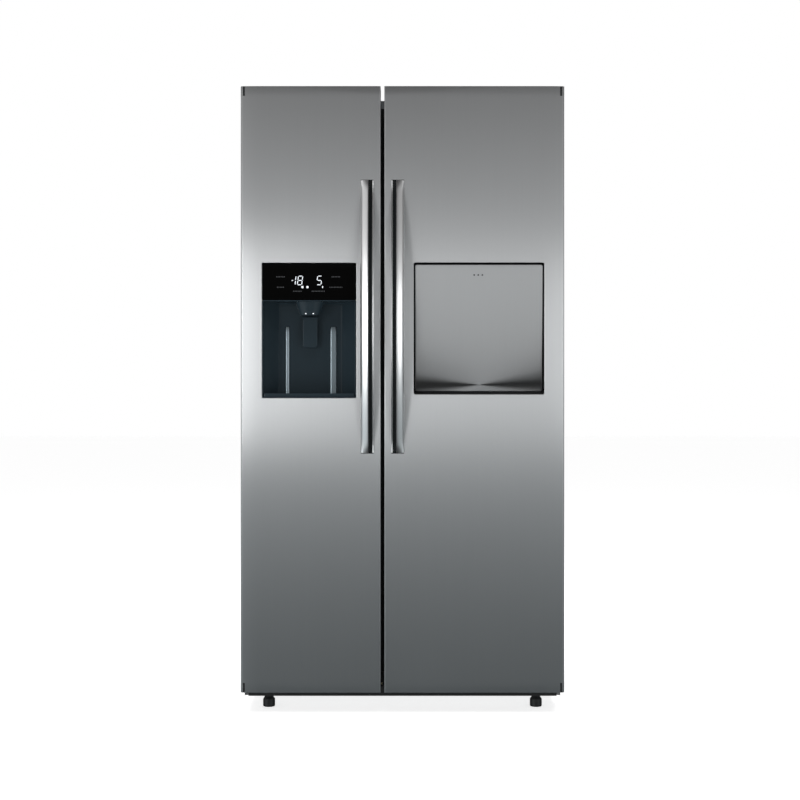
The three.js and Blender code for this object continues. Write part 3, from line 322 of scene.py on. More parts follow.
def bridge(bm, a, b):
    """Faces between two rings of equally many points."""
    for i in range(len(a)):
        j = (i + 1) % len(a)
        bm.faces.new((a[i], a[j], b[j], b[i]))


def loft(bm, loops, closed=False, caps=True):
    """A skin over successive loops of equally many points."""
    rings = [[bm.verts.new(p) for p in loop] for loop in loops]
    pairs = list(zip(rings, rings[1:])) + ([(rings[-1], rings[0])] if closed else [])
    for a, b in pairs:
        bridge(bm, a, b)
    if caps and not closed:
        close(bm, rings[0])
        close(bm, rings[-1])
    return rings


def added(name, data):
    """A new object in the scene."""
    made = bpy.data.objects.new(name, data)
    bpy.context.scene.collection.objects.link(made)
    return made


def from_bmesh(name, bm):
    mesh = bpy.data.meshes.new(name)
    bm.to_mesh(mesh)
    bm.free()
    return added(name, mesh)


def mesh_object(name, bm):
    """Tidies a mesh and puts it in the scene."""
    bmesh.ops.remove_doubles(bm, verts=bm.verts, dist=2e-6)
    bmesh.ops.dissolve_degenerate(bm, edges=bm.edges, dist=1e-6)
    bmesh.ops.recalc_face_normals(bm, faces=bm.faces)
    return from_bmesh(name, bm)


def welded(node):
    """A solid's mesh at rest, with its doubled points joined."""
    bm = bmesh.new()
    bm.from_mesh(NODES[node].data)
    bmesh.ops.remove_doubles(bm, verts=bm.verts, dist=1e-5)
    return bm


def lofted(name, *parts, closed=False):
    """One object of several lofts."""
    bm = bmesh.new()
    for loops in parts:
        loft(bm, loops, closed)
    return mesh_object(name, bm)


LEAN_POWER = 1.1  # how a bowed face falls back toward its bottom: 1 is a straight lean


def slab(x0, x1, y0, y1, z0, z1, corner, edge, bow=0.0, rows=1):
    """Loops of a plate whose front edge is rounded and whose face falls back by bow at the bottom."""
    def face(y, inset):
        outline = rounded(*grown((x0, x1, z0, z1), -inset), corner - inset, 5, rows)
        return [(u, min(y + bow * ((z1 - v) / (z1 - z0)) ** LEAN_POWER, y1), v) for u, v in outline]
    front = [face(y0 + edge * (1 - sin(a)), edge * (1 - cos(a))) for a in quarter(4)]
    return [at_y(y1, rounded(x0, x1, z0, z1, corner, 5, rows)), *front]


def revolved(profile, x, y, steps=32, oval=1.0):
    """Loops of a turned shape from its (radius, z) profile; it starts and ends on the axis."""
    turn = [2 * pi * (i + 0.5) / steps - pi / 2 for i in range(steps)]
    return [[(x + r * cos(a), y + r * oval * sin(a), z) for a in turn] for r, z in profile]


def barrel(y, z, profile, steps):
    """Loops of a round bar along x from its (x, radius) profile."""
    turn = [2 * pi * i / steps for i in range(steps)]
    return [[(x, y + r * cos(a), z + r * sin(a)) for a in turn] for x, r in profile]


def bake(piece, modifier, helper):
    """Turns a modifier's result into a piece's own mesh, and drops the object that it used."""
    bpy.context.view_layer.update()
    shown = piece.evaluated_get(bpy.context.evaluated_depsgraph_get())
    mesh = bpy.data.meshes.new_from_object(shown)
    piece.modifiers.remove(modifier)
    piece.data = mesh
    bpy.data.objects.remove(helper)
    if not mesh.vertices:
        raise RuntimeError(f"{piece.name} came out empty")


def hollow(piece, cutter):
    """Cuts one closed shape out of another."""
    cut = piece.modifiers.new("cut", "BOOLEAN")
    cut.object, cut.operation = cutter, "DIFFERENCE"
    bake(piece, cut, cutter)


def soften(piece, bevel, angle=38):
    """Smooth shading with true flats, and small rounds on the sharp edges."""
    piece.data.shade_smooth()
    piece.data.set_sharp_from_angle(angle=radians(angle))
    if bevel:
        rounder = piece.modifiers.new("edges", "BEVEL")
        rounder.width = bevel
        rounder.segments = 2
        rounder.limit_method = "ANGLE"
        rounder.angle_limit = radians(angle)
        rounder.harden_normals = True
    else:
        flats = piece.modifiers.new("flats", "WEIGHTED_NORMAL")
        flats.keep_sharp = True


def settle(piece, finish, body, stands_for=(), bevel=0.0, angle=38):
    """Gives a piece its finish, shading and body."""
    piece.data.materials.clear()
    piece.data.materials.append(FINISHES[finish])
    soften(piece, bevel, angle)
    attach(piece, body)
    if stands_for:
        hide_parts(*([stands_for] if isinstance(stands_for, str) else stands_for))
    return piece


def built(name, lofts, finish, body, stands_for=(), angle=40):
    """A finished piece made of lofts."""
    return settle(lofted(name, *lofts), finish, body, stands_for, 0.0, angle)


def refined(node, name, finish, body, bevel=0.5 * MM, angle=38):
    """A cleaned copy of a solid with rounded edges, which stands for it."""
    bm = welded(node)
    bmesh.ops.dissolve_limit(
        bm, angle_limit=radians(0.5), verts=bm.verts, edges=bm.edges, use_dissolve_boundaries=False
    )
    return settle(from_bmesh(name, bm), finish, body, node, bevel, angle)


def row(name, item, count, start, step, finish, body):
    """Repeats a small object along a line with Geometry Nodes, as one plain mesh."""
    tree = bpy.data.node_groups.new(name, "GeometryNodeTree")
    settings = {
        "Item": ("Object", item), "Count": ("Int", count), "Start": ("Vector", start),
        "Step": ("Vector", step), "Finish": ("Material", FINISHES[finish]),
    }
    sockets = {
        label: tree.interface.new_socket(label, in_out="INPUT", socket_type=f"NodeSocket{kind}").identifier
        for label, (kind, _) in settings.items()
    }
    tree.interface.new_socket("Geometry", in_out="OUTPUT", socket_type="NodeSocketGeometry")
    n = Nodes(tree)
    given = tree.nodes.new("NodeGroupInput")
    value = {label: Tone(n, given.outputs[label]) for label in sockets}
    line = n.node(
        "GeometryNodeMeshLine", {},
        {"Count": value["Count"], "Start Location": value["Start"], "Offset": value["Step"]},
    )
    shape = n.node("GeometryNodeObjectInfo", {}, {"Object": value["Item"]}, out="Geometry")
    copies = n.node("GeometryNodeInstanceOnPoints", {}, {"Points": line, "Instance": shape})
    real = n.node("GeometryNodeRealizeInstances", {}, {"Geometry": copies})
    coated = n.node("GeometryNodeSetMaterial", {}, {"Geometry": real, "Material": value["Finish"]})
    n.node("NodeGroupOutput", {}, {0: coated})

    holder = added(name, bpy.data.meshes.new(name))
    modifier = holder.modifiers.new("row", "NODES")
    modifier.node_group = tree
    for label, (_, setting) in settings.items():
        modifier[sockets[label]] = setting
    bake(holder, modifier, item)
    return settle(holder, finish, body)


FINISHES = {}


# ---- settings

def length(name, millimetres, description):
    return FloatProperty(name=name, description=description, default=millimetres * MM, unit="LENGTH")


def number_of(name, number, description):
    return IntProperty(name=name, description=description, default=number, min=2)


def colour_of(name, value, description):
    return FloatVectorProperty(name=name, description=description, subtype="COLOR", size=3, default=value)


class RefrigeratorSizes(PropertyGroup):
    """Sizes of the visible detail."""
    door_edge: length("Door edge radius", 6, "Radius of a door's outer upright edge")
    seam_edge: length("Seam edge radius", 3, "Radius of a door's upright edge beside the other door")
    door_crown: length("Door crown", 2.2, "How far a door's face falls back at its outer edge")
    crown_width: length("Crown width", 52, "Width of the part of a door's face that falls back")
    roll: length("Opening roll", 1.6, "Radius of the sheet's rolled edge around an opening")
    softness: length("Edge softness", 0.6, "Round on the edges of moulded and pressed pieces")
    handle_end: length("Handle end height", 6, "How far a handle stands off the door at its ends")
    panel_bow: length("Home bar panel lean", 17, "How far the panel's face falls back at the bottom")
    recess_corner: length("Recess corner radius", 45, "Radius of the dispenser recess at its back corners")
    cavity_corner: length("Liner corner radius", 16, "Radius of the corners inside the cabinet")
    rear_screws: number_of("Rear screws", 9, "Screws along each long edge of the rear panel")
    tray_slats: number_of("Drip tray slats", 17, "Number of slats in the drip tray")


class RefrigeratorColours(PropertyGroup):
    """Colours of the finishes."""
    steel: colour_of("Door steel", (0.605, 0.611, 0.617), "Brushed steel of the doors")
    cabinet: colour_of("Cabinet paint", (0.23, 0.24, 0.25), "Paint on the cabinet's sides and top")
    handle: colour_of("Handles", (0.94, 0.94, 0.94), "Satin aluminium of the handles")
    dark: colour_of("Dark plastic", (0.015, 0.016, 0.017), "Caps, kick plate and trim")
    recess: colour_of("Recess plastic", (0.016, 0.026, 0.033), "Glossy plastic of the dispenser recess")
    liner: colour_of("Liner", (0.83, 0.85, 0.87), "White plastic inside")
    glow: colour_of("Display glow", (0.85, 0.9, 0.95), "Lit marks of the display")
    floor: colour_of("Floor", (0.9, 0.9, 0.9), "Studio floor")


# ---- doors

SHEET, FOLD_DEPTH = 0.9 * MM, 4 * MM  # the fronts' steel, and how far it is folded into an opening


def door_plan(width, depth, sizes):
    """The skin's line in plan from its outer side to its seam side, as (across, behind the front)."""
    r, crown, reach, seam = sizes.door_edge, sizes.door_crown, sizes.crown_width, sizes.seam_edge
    fall = lambda u: crown * max(0.0, 1 - u / reach) ** 2
    turn = quarter(6)
    line = [(0.0, depth)]
    line += [(r - r * cos(a), r + fall(r) - r * sin(a)) for a in turn]
    line += [(r + (reach - r) * i / 10, fall(r + (reach - r) * i / 10)) for i in range(1, 11)]
    flat = len(line) - 1
    line += [(width - seam + seam * sin(a), seam - seam * cos(a)) for a in turn]
    line.append((width, depth))
    return line, flat


def door_front(name, node, side, hole, corner, sizes):
    """A door's folded steel sheet, with an opening whose edge is rolled in."""
    e = Edges(node)
    outer, toward = (e.x0, 1) if side < 0 else (e.x1, -1)
    cap = Edges(node.replace("skin", "top_cap"))
    cap_z = cap.z1 - cap.z0 + GAP
    line, flat = door_plan(e.x1 - e.x0, e.y1 - e.y0, sizes)
    levels = [e.z0, e.z0 + cap_z, e.z1 - cap_z, e.z1]
    bm = bmesh.new()
    grid = [[bm.verts.new((outer + toward * u, e.y0 + v, z)) for z in levels] for u, v in line]
    for i in range(len(line) - 1):
        if i == flat:
            continue
        on_side = i == 0 or i == len(line) - 2
        for j in range(3):
            if on_side and j != 1:
                continue
            a, b = grid[i], grid[i + 1]
            bm.faces.new((a[j], b[j], b[j + 1], a[j + 1]))
    rings = []
    for a in quarter(5):
        y, out = e.y0 + sizes.roll * (1 - cos(a)), sizes.roll * (1 - sin(a))
        rings.append([bm.verts.new((u, y, v)) for u, v in rounded(*grown(hole, out), corner + out, 6)])
    rings.append([bm.verts.new((v.co.x, e.y0 + FOLD_DEPTH, v.co.z)) for v in rings[-1]])
    for a, b in zip(rings, rings[1:]):
        bridge(bm, a, b)
    border = list(zip(rings[0], rings[0][1:] + rings[0][:1]))
    left, right = grid[flat], grid[flat + 1]
    border += [(edge[j], edge[j + 1]) for edge in (left, right) for j in range(3)]
    border += [(left[0], right[0]), (left[3], right[3])]
    edges = [bm.edges.get(pair) or bm.edges.new(pair) for pair in border]
    bmesh.ops.triangle_fill(bm, use_beauty=True, edges=edges)
    piece = mesh_object(name, bm)
    front = max(piece.data.polygons, key=lambda f: f.area)
    if front.normal.y > 0:
        piece.data.flip_normals()
    wall = piece.modifiers.new("sheet", "SOLIDIFY")
    wall.thickness = SHEET
    wall.offset = -1
    return settle(piece, "brushed_steel", FREEZER if side < 0 else FRIDGE, node, 0.0, 50)


class REFRIGERATOR_OT_door_fronts(Operator):
    """Folds the two steel door fronts"""
    bl_idname = "refrigerator.door_fronts"
    bl_label = "Door fronts"

    def execute(self, context):
        sizes = context.scene.refrigerator_sizes
        bay, display = Edges("dispenser_housing"), Edges("dispenser_display")
        hole = grown((bay.x0, bay.x1, bay.z0, display.z1), GAP)
        door_front("freezer_door_front", "freezer_door_skin", -1, hole, 3 * MM, sizes)
        box = Edges("home_bar_frame")
        hole = grown((box.x0, box.x1, box.z0, box.z1), -WALL)
        door_front("fridge_door_front", "fridge_door_skin", 1, hole, 5 * MM, sizes)
        return {"FINISHED"}


class REFRIGERATOR_OT_door_caps(Operator):
    """Fits the moulded caps on the tops and bottoms of the doors"""
    bl_idname = "refrigerator.door_caps"
    bl_label = "Door caps"

    def execute(self, context):
        soft, tuck = context.scene.refrigerator_sizes.softness, 2.5 * MM
        for door, body in DOORS:
            for place in ("top", "bottom"):
                node = f"{door}_door_{place}_cap"
                cap = refined(node, f"{door}_{place}_trim", "dark_plastic", body, soft)
                e = Edges(node)
                outer = e.x0 if door == "freezer" else e.x1
                for v in cap.data.vertices:
                    if abs(v.co.x - outer) < 0.5 * MM and v.co.y < e.y0 + 1 * MM:
                        v.co.y += tuck
        return {"FINISHED"}


BAR_SECTION = (
    (0.0, 15.0), (0.0, 12.6), (0.4, 11.4), (1.4, 9.9), (3.0, 8.0), (4.4, 6.6), (5.6, 5.75), (8.0, 4.6),
    (12.0, 2.95), (16.0, 1.55), (20.0, 0.45), (21.2, 0.25), (21.7, 0.5), (21.8, 1.9), (26.0, 3.2),
    (28.6, 5.6), (31.2, 8.6), (32.5, 10.4), (32.7, 9.5), (33.2, 9.9), (33.8, 10.5), (34.4, 10.2),
    (35.2, 9.3), (36.0, 9.2), (36.5, 10.0), (36.5, 15.0),
)
INLAY_SECTION = (
    (22.0, 1.7), (22.0, 0.7), (22.4, 0.3), (23.2, 0.2), (24.1, 0.4), (25.2, 1.2), (26.0, 1.9),
    (28.6, 4.4), (31.3, 7.6), (32.2, 8.8), (32.4, 9.9), (31.2, 8.4), (28.6, 5.4), (26.0, 3.0),
)
END_ROUND = (1.0, 0.5, 0.16)  # how far the last loops of a bar's end are drawn in
STATIONS = 72  # loops along a bar's bow
ROOM = 11 * MM  # a bar closer to the door than this is flattened in proportion
PAD_THICK, PAD_LONG = 0.8 * MM, 24 * MM


def bowed(name, node, side, across, finish, body, end_height, stands_for=()):
    """Sweeps a section, as (across, behind the crest) in mm, along a handle's bow."""
    e = Edges(node)
    width = e.x1 - e.x0
    door = Edges(node.replace("handle", "door_skin")).y0
    half = (e.z1 - e.z0) / 2 - 1.6 * MM
    rise = door - e.y0 - end_height
    radius = (half ** 2 + rise ** 2) / (2 * rise)
    outer, toward = (e.x0, 1) if side < 0 else (e.x1, -1)
    ends, lip = len(END_ROUND), 1.4 * MM
    swing = asin(half / radius)
    loops = []
    for i in range(-ends, STATIONS + ends + 1):
        a = swing * (2 * min(max(i, 0), STATIONS) / STATIONS - 1)
        beyond = max(-i, i - STATIONS, 0)
        end = END_ROUND[-beyond] if beyond else 0.0
        y = e.y0 + radius - radius * cos(a)
        z = e.z + radius * sin(a)
        room = min(1.0, (door - y - 1.6 * MM) / ROOM)
        out = lip * 0.35 * sqrt(1 - (1 - end) ** 2)
        loop = []
        for u, w in across:
            u = width / 2 + (u * MM - width / 2) * (1 - 0.03 * end)
            w = w * MM * room + lip * end ** 2 * room
            loop.append((
                outer + toward * u,
                min(y + w * cos(a), door - GAP),
                z - w * sin(a) + (-out if i < 0 else out),
            ))
        loops.append(loop)
    bm = bmesh.new()
    rings = loft(bm, loops, caps=False)
    bm.faces.new(rings[0])
    bm.faces.new(rings[-1])
    return settle(mesh_object(name, bm), finish, body, stands_for, 0.0, 60)


class REFRIGERATOR_OT_handles(Operator):
    """Bends the two bowed handles"""
    bl_idname = "refrigerator.handles"
    bl_label = "Handles"

    def execute(self, context):
        height = context.scene.refrigerator_sizes.handle_end
        for side, (door, body) in zip((-1, 1), DOORS):
            node = f"{door}_handle"
            bowed(f"{node}_bar", node, side, BAR_SECTION, "satin_aluminium", body, height, node)
            bowed(f"{node}_inlay", node, side, INLAY_SECTION, "black_trim", body, height)
            # Black pads under each handle end: real mounting pads, whose dark outline also paints the shadow
            # each end casts on the door.
            e, wall = Edges(node), Edges(f"{door}_door_skin").y0 - GAP
            pads_and_painted_end_shadow = [
                slab(e.x0 + GAP, e.x1 - GAP, wall - PAD_THICK, wall, z0, z1, 2 * MM, 0.3 * MM)
                for z0, z1 in ((e.z0, e.z0 + PAD_LONG), (e.z1 - PAD_LONG, e.z1))
            ]
            built(f"{node}_pads", pads_and_painted_end_shadow, "black_trim", body, angle=38)
        return {"FINISHED"}


# ---- dispenser

def bead(x, width, proud, wall, z0, z1):
    """Loops of an upright half-round bead on a wall, fading at its top."""
    loops = []
    for z, k in ((z0, 1), (z1 - 30 * MM, 1), (z1 - 14 * MM, 0.92), (z1 - 5 * MM, 0.7), (z1, 0.25)):
        loops.append(at_z(z, rounded(
            x - width / 2 * (0.5 + k / 2), x + width / 2 * (0.5 + k / 2),
            wall - proud * k, wall + 3 * MM, proud * k, 6)))
    return loops


RIM_SECTION = (  # the recess's rim, as (behind the front, drawn in, corner radius) in mm
    (0.8, 0, 3), (0.2, 0.2, 3), (0, 0.8, 2.6), (0, 2.2, 2.2), (0.3, 2.8, 2), (1.2, 3, 2),
)
TRAY_SECTION = (  # the drip tray's rim, as (below its top, drawn in, corner radius) in mm
    (0.8, 0, 3), (0, 0.8, 2.4), (0, 3, 1),
)


class REFRIGERATOR_OT_dispenser(Operator):
    """Moulds the dispenser's recess, chute, paddle, flap and drip tray"""
    bl_idname = "refrigerator.dispenser"
    bl_label = "Dispenser"

    def execute(self, context):
        sizes = context.scene.refrigerator_sizes
        e, top = Edges("dispenser_housing"), Edges("dispenser_display").z0 - GAP
        corner, fillet = sizes.recess_corner, 9 * MM
        back = e.y1 - WALL

        def ring(y, ix, iz, r):
            return at_y(y, rounded(e.x0 + ix, e.x1 - ix, e.z0 + iz, top - iz, r, 4))
        loops = [ring(e.y1, corner, WALL, 3 * MM), ring(e.y1 - corner, 0, 0, 3 * MM)]
        loops += [ring(e.y0 + y * MM, i * MM, i * MM, r * MM) for y, i, r in RIM_SECTION]
        for a in quarter(12):
            y = back - corner + corner * sin(a)
            near = max(0.0, y - back + fillet)  # how far into the round before the back wall
            up = fillet - sqrt(max(0.0, fillet ** 2 - near ** 2))
            loops.append(ring(y, WALL + corner * (1 - cos(a)) * 0.999, WALL + up, 2 * MM))
        recess = lofted("dispenser_recess", loops)
        chute, flap = Edges("ice_chute"), Edges("ice_flap")
        half = (chute.x1 - chute.x0) / 2 + GAP
        oval = (flap.y - chute.y0 + GAP) / half
        z0, z1 = top - 12 * MM, top + 6 * MM
        hollow(recess, lofted("chute_passage", revolved(
            [(0, z0), (half, z0), (half, z1), (0, z1)], chute.x, flap.y, 48, oval)))
        settle(recess, "recess_plastic", FREEZER, "dispenser_housing", 0.0, 40)

        low, high = e.z0 + 10 * MM, e.z0 + 200 * MM
        beads = [bead(e.x + across * MM, wide * MM, 5 * MM, back, low, high)
                 for across, wide in ((-65, 11), (64.5, 18))]
        built("recess_beads", beads, "bead_metal", FREEZER, angle=50)

        refined("ice_chute", "ice_chute_moulding", "recess_plastic", FREEZER, 0.8 * MM, 30)
        mouth = min(v.co.y for v in NODES["ice_chute"].data.vertices if v.co.z < chute.z0 + 2 * MM)
        # Four glowing specks at the chute's mouth: painted highlights for the bright reflections at the
        # nozzle, not a lamp.
        lens = lofted("nozzle_lens", mark(0.0, 0.0, 4.2 * MM, 2.6 * MM, 0.0))
        start = (chute.x - 10 * MM, mouth + 0.1 * MM, chute.z0 + 3.5 * MM)
        row("nozzle_lights", lens, 4, start, (7 * MM, 0, 0), "painted_nozzle_glint", FREEZER)
        refined("ice_flap", "ice_flap_disc", "dark_plastic", "ice_flap", 0.4 * MM, 30)

        p = Edges("dispenser_paddle")
        hub, pin = 4 * MM, 1.7 * MM
        left, right = p.x0 + hub, p.x1 - hub
        blade = slab(left, right, p.y - 2 * MM, p.y + 2 * MM, p.z0, p.z1 - 3 * MM, 7 * MM, 1.4 * MM)
        axle = barrel(p.y, p.z1 - hub, (
            (p.x0, pin), (left, pin), (left, hub), (right, hub), (right, pin), (p.x1, pin)), 24)
        built("paddle_blade", (blade, axle), "recess_plastic", "dispenser_paddle", "dispenser_paddle")

        t = Edges("drip_tray")
        outline = (t.x0, t.x1, t.y0, t.y1)
        rim = [(t.z0, 0, 3)] + [(t.z1 - down * MM, i, r) for down, i, r in TRAY_SECTION]
        rim += [(t.z0 + 1.5 * MM, 3, 1)]
        dish = [at_z(z, rounded(*grown(outline, -i * MM), r * MM, 4)) for z, i, r in rim]
        built("drip_tray_dish", [dish], "recess_plastic", FREEZER, "drip_tray")
        count = sizes.tray_slats
        pitch = (t.x1 - t.x0 - 2 * WALL) / count
        slat = lofted("tray_slat", [
            at_y(y, rounded(-pitch * 0.28, pitch * 0.28, -2 * MM, 0.0, 0.8 * MM, 2))
            for y in (t.y0 + WALL - 0.5 * MM, t.y1 - WALL + 0.5 * MM)])
        start = (t.x0 + WALL + pitch / 2, 0, t.z1 - 0.6 * MM)
        row("drip_tray_slats", slat, count, start, (pitch, 0, 0), "dark_plastic", FREEZER)
        return {"FINISHED"}


SEGMENTS = {"1": "bc", "5": "acdfg", "8": "abcdefg", "-": "g"}
PROUD = 0.12 * MM  # how far a mark stands off its surface


def digit(sign, x, z, wide, high, thick, y, slant=0.12):
    """Loops of the lit segments of one slanted seven-segment character."""
    gap = thick * 0.18
    upright = {"f": (0, 1), "b": (1, 1), "e": (0, 0), "c": (1, 0)}
    level = {"a": 2, "g": 1, "d": 0}
    out = []
    for name in SEGMENTS[sign]:
        if name in level:
            v = z + high / 2 * level[name]
            u0, u1 = x + gap + thick / 2, x + wide - gap - thick / 2
            box = (u0, u1, v - thick / 2, v + thick / 2)
        else:
            right, upper = upright[name]
            u = x + wide * right
            v0 = z + high / 2 * upper
            box = (u - thick / 2, u + thick / 2, v0 + gap + thick / 3, v0 + high / 2 - gap - thick / 3)
        outline = rounded(*box, thick * 0.35, 2)
        lean = [(u + slant * (v - z), v) for u, v in outline]
        out.append([at_y(y, lean), at_y(y - PROUD, lean)])
    return out


def mark(x, z, wide, high, y):
    """Loops of one small lit mark."""
    outline = rounded(x - wide / 2, x + wide / 2, z - high / 2, z + high / 2, min(wide, high) / 2, 3)
    return [at_y(y, outline), at_y(y - PROUD, outline)]


class REFRIGERATOR_OT_display(Operator):
    """Makes the dispenser's glass and its lit marks"""
    bl_idname = "refrigerator.display"
    bl_label = "Display"

    def execute(self, context):
        e = Edges("dispenser_display")
        glass = slab(e.x0, e.x1, e.y0 + 0.2 * MM, e.y1, e.z0, e.z1, 3 * MM, 0.8 * MM)
        built("display_glass", [glass], "black_glass", FREEZER, "dispenser_display")
        y = e.y0 + 0.2 * MM
        x, z = e.x, e.z0
        low, high, stroke = z + 42.5 * MM, 24 * MM, 2.1 * MM
        digits = []
        for sign, left, wide in (("-", -51, 6.5), ("1", -47, 8), ("8", -32.5, 12), ("5", 21, 12)):
            digits += digit(sign, x + left * MM, low, wide * MM, high, stroke, y)
        digits += [mark(x + dx, z + 36 * MM, 6.5 * MM, 6.5 * MM, y) for dx in (-18.5 * MM, -4.5 * MM)]
        digits += [mark(x + 37.5 * MM, z + 36 * MM, 2.4 * MM, 6 * MM, y)]
        built("display_digits", digits, "lit_marks", FREEZER, angle=38)
        return {"FINISHED"}


class REFRIGERATOR_OT_display_labels(Operator):
    """Lays out the faint label strokes beside the digits"""
    bl_idname = "refrigerator.display_labels"
    bl_label = "Display labels"

    def execute(self, context):
        e = Edges("dispenser_display")
        y = e.y0 + 0.2 * MM
        pitch = 4.2 * MM
        for i, (x, z, count) in enumerate((
            (-79.5, 64.5, 6), (-79.5, 35.5, 5), (74.5, 64.5, 6),
            (74.5, 35.5, 9), (-32.5, 24.5, 6), (25.5, 24.5, 9),
        )):
            item = lofted(f"label_stroke_{i}", mark(0.0, 0.0, 2.9 * MM, 3.6 * MM, 0.0))
            start = (e.x + x * MM - pitch * (count - 1) / 2, y, e.z0 + z * MM)
            row(f"display_label_{i}", item, count, start, (pitch, 0, 0), "dim_marks", FREEZER)
        return {"FINISHED"}


# ---- home bar

class REFRIGERATOR_OT_home_bar(Operator):
    """Makes the fold-down home bar door, its catch dots and the frame around it"""
    bl_idname = "refrigerator.home_bar"
    bl_label = "Home bar"

    def execute(self, context):
        sizes = context.scene.refrigerator_sizes
        box, e = Edges("home_bar_frame"), Edges("home_bar_panel")
        seam = 4.7 * MM
        x0, x1 = box.x0 + WALL + seam, box.x1 - WALL - seam
        face = slab(x0, x1, e.y0, e.y1, e.z0, e.z1, 5 * MM, 1.6 * MM, sizes.panel_bow, 28)
        pivot = next(j for j in frame["joints"] if j["name"] == "home_bar_hinge")["pos_m"]
        pins = [barrel(pivot[1], pivot[2], [(x, 2.4 * MM) for x in ends], 20)
                for ends in ((e.x0, x0 + GAP), (x1 - GAP, e.x1))]
        built("home_bar_face", [face], "panel_steel", BAR, "home_bar_panel")
        built("home_bar_pins", pins, "black_trim", BAR, angle=38)
        dot = lofted("catch_dot", mark(0.0, 0.0, 4.6 * MM, 4.6 * MM, 0.0))
        start = ((x0 + x1) / 2 - 13.5 * MM, e.y0 + PROUD, e.z1 - 29 * MM)
        row("home_bar_dots", dot, 3, start, (11.4 * MM, 0, 0), "dark_plastic", BAR)
        refined("home_bar_frame", "home_bar_surround", "dark_plastic", FRIDGE, 0.7 * MM)
        refined("home_bar_liner", "home_bar_inner", "white_plastic", BAR, 1.2 * MM)
        return {"FINISHED"}


# ---- seals and door insides

SEAL_WIDE = 18 * MM
SEAL_FOLD = (  # a seal's section, as shares of its width and of its depth
    (0.10, 0.0), (0.9, 0.0), (0.96, 0.12), (0.80, 0.2), (0.80, 0.3), (0.98, 0.42), (0.98, 0.62),
    (0.86, 0.7), (1.0, 0.8), (1.0, 0.97), (0.94, 1.0), (0.06, 1.0), (0.0, 0.97), (0.0, 0.8),
    (0.14, 0.7), (0.02, 0.62), (0.02, 0.42), (0.2, 0.3), (0.2, 0.2), (0.04, 0.12),
)


class REFRIGERATOR_OT_gaskets(Operator):
    """Runs the folded magnetic seals round the backs of the doors"""
    bl_idname = "refrigerator.gaskets"
    bl_label = "Door seals"

    def execute(self, context):
        for door, body in DOORS:
            e = Edges(f"{door}_door_gasket")
            box, deep = (e.x0, e.x1, e.z0, e.z1), e.y1 - e.y0
            loops = [at_y(e.y0 + v * deep, rounded(*grown(box, -u * SEAL_WIDE), 1.5 * MM, 2))
                     for u, v in SEAL_FOLD]
            settle(lofted(f"{door}_door_seal", loops, closed=True), "seal_rubber", body,
                   f"{door}_door_gasket", 0.0, 35)
        return {"FINISHED"}


def insulation(door, body, sizes):
    """A door's foam, cast against the inside of its rounded sheet."""
    node = f"{door}_door_foam"
    bm = welded(node)
    front = Edges(f"{door}_door_skin").y0
    for v in bm.verts:
        if v.co.y < front + 3 * MM:
            v.co.y = front + sizes.door_edge + sizes.door_crown + 0.5 * MM
    settle(mesh_object(f"{door}_door_insulation", bm), "foam", body, node, 0.0)


class REFRIGERATOR_OT_door_insides(Operator):
    """Fits the doors' inner liners, insulation and bins"""
    bl_idname = "refrigerator.door_insides"
    bl_label = "Door insides"

    def execute(self, context):
        sizes = context.scene.refrigerator_sizes
        for door, body in DOORS:
            refined(f"{door}_door_liner", f"{door}_door_inner", "white_plastic", body, 1.5 * MM)
            insulation(door, body, sizes)
            for place in ("lower", "upper"):
                node = f"{door}_bin_{place}"
                refined(node, f"{node}_moulding", "clear_plastic", body, sizes.softness)
        return {"FINISHED"}


# ---- cabinet

TUBS = {  # the inside of each liner, as (left, right, bottom, top) in mm
    "freezer_liner": (-392, -85, 125, 1674),
    "fridge_liner": (-26.5, 392, 125, 1674),
}
TUB_WALL, TUB_ROLL, TUB_FILLET = 1.6 * MM, 3 * MM, 12 * MM
STEP_RISE = 200 * MM  # how far the floor rises over the machine space


def cavity_liner(name, node, sizes):
    """A vacuum-formed tub with round corners, a front flange and the step over the machine space."""
    e = Edges(node)
    tub = [v * MM for v in TUBS[node]]
    back, r = e.y1 - 2 * MM, sizes.cavity_corner
    step = Edges("crisper_lower").y1 + 2 * MM
    rows = [(e.y0 + 3 * MM, 0.0, 0.0), (e.y0 + 6 * MM, 0.0, 0.0), (step, 0.0, 0.0)]
    rows += [(step + 6 * MM, 4 * MM, 0.0), (step + 40 * MM, STEP_RISE - 14 * MM, 0.0)]
    rows += [(step + 50 * MM, STEP_RISE - 3 * MM, 0.0), (step + 62 * MM, STEP_RISE, 0.0)]
    rows += [(back - TUB_FILLET * (1 - sin(a)), STEP_RISE, TUB_FILLET * (1 - cos(a))) for a in quarter(5)]

    def ring(y, up, inset, grow):
        x0, x1, z0, z1 = grown(tub, grow - inset)
        return at_y(y, rounded(x0, x1, z0 + up, z1, r - inset / 2 + grow, 5))

    def flange(y, inset):
        return at_y(y, rounded(*grown((e.x0, e.x1, e.z0, e.z1), -inset), 3 * MM, 5))
    outer = [ring(y + (TUB_WALL if k > 8 else 0), up, inset, TUB_WALL)
             for k, (y, up, inset) in enumerate(rows)]
    inner = [ring(*place, 0.0) for place in rows]
    roll = []
    for a in quarter(4)[:-1]:
        out = TUB_ROLL * (1 - sin(a))
        roll.append(at_y(e.y0 + TUB_ROLL * (1 - cos(a)), rounded(*grown(tub, out), r + out, 5)))
    loops = outer[::-1] + [flange(e.y0 + TUB_WALL, 0.0), flange(e.y0, 0.2 * MM)] + roll + inner
    built(name, [loops], "white_plastic", ROOT, node, 35)


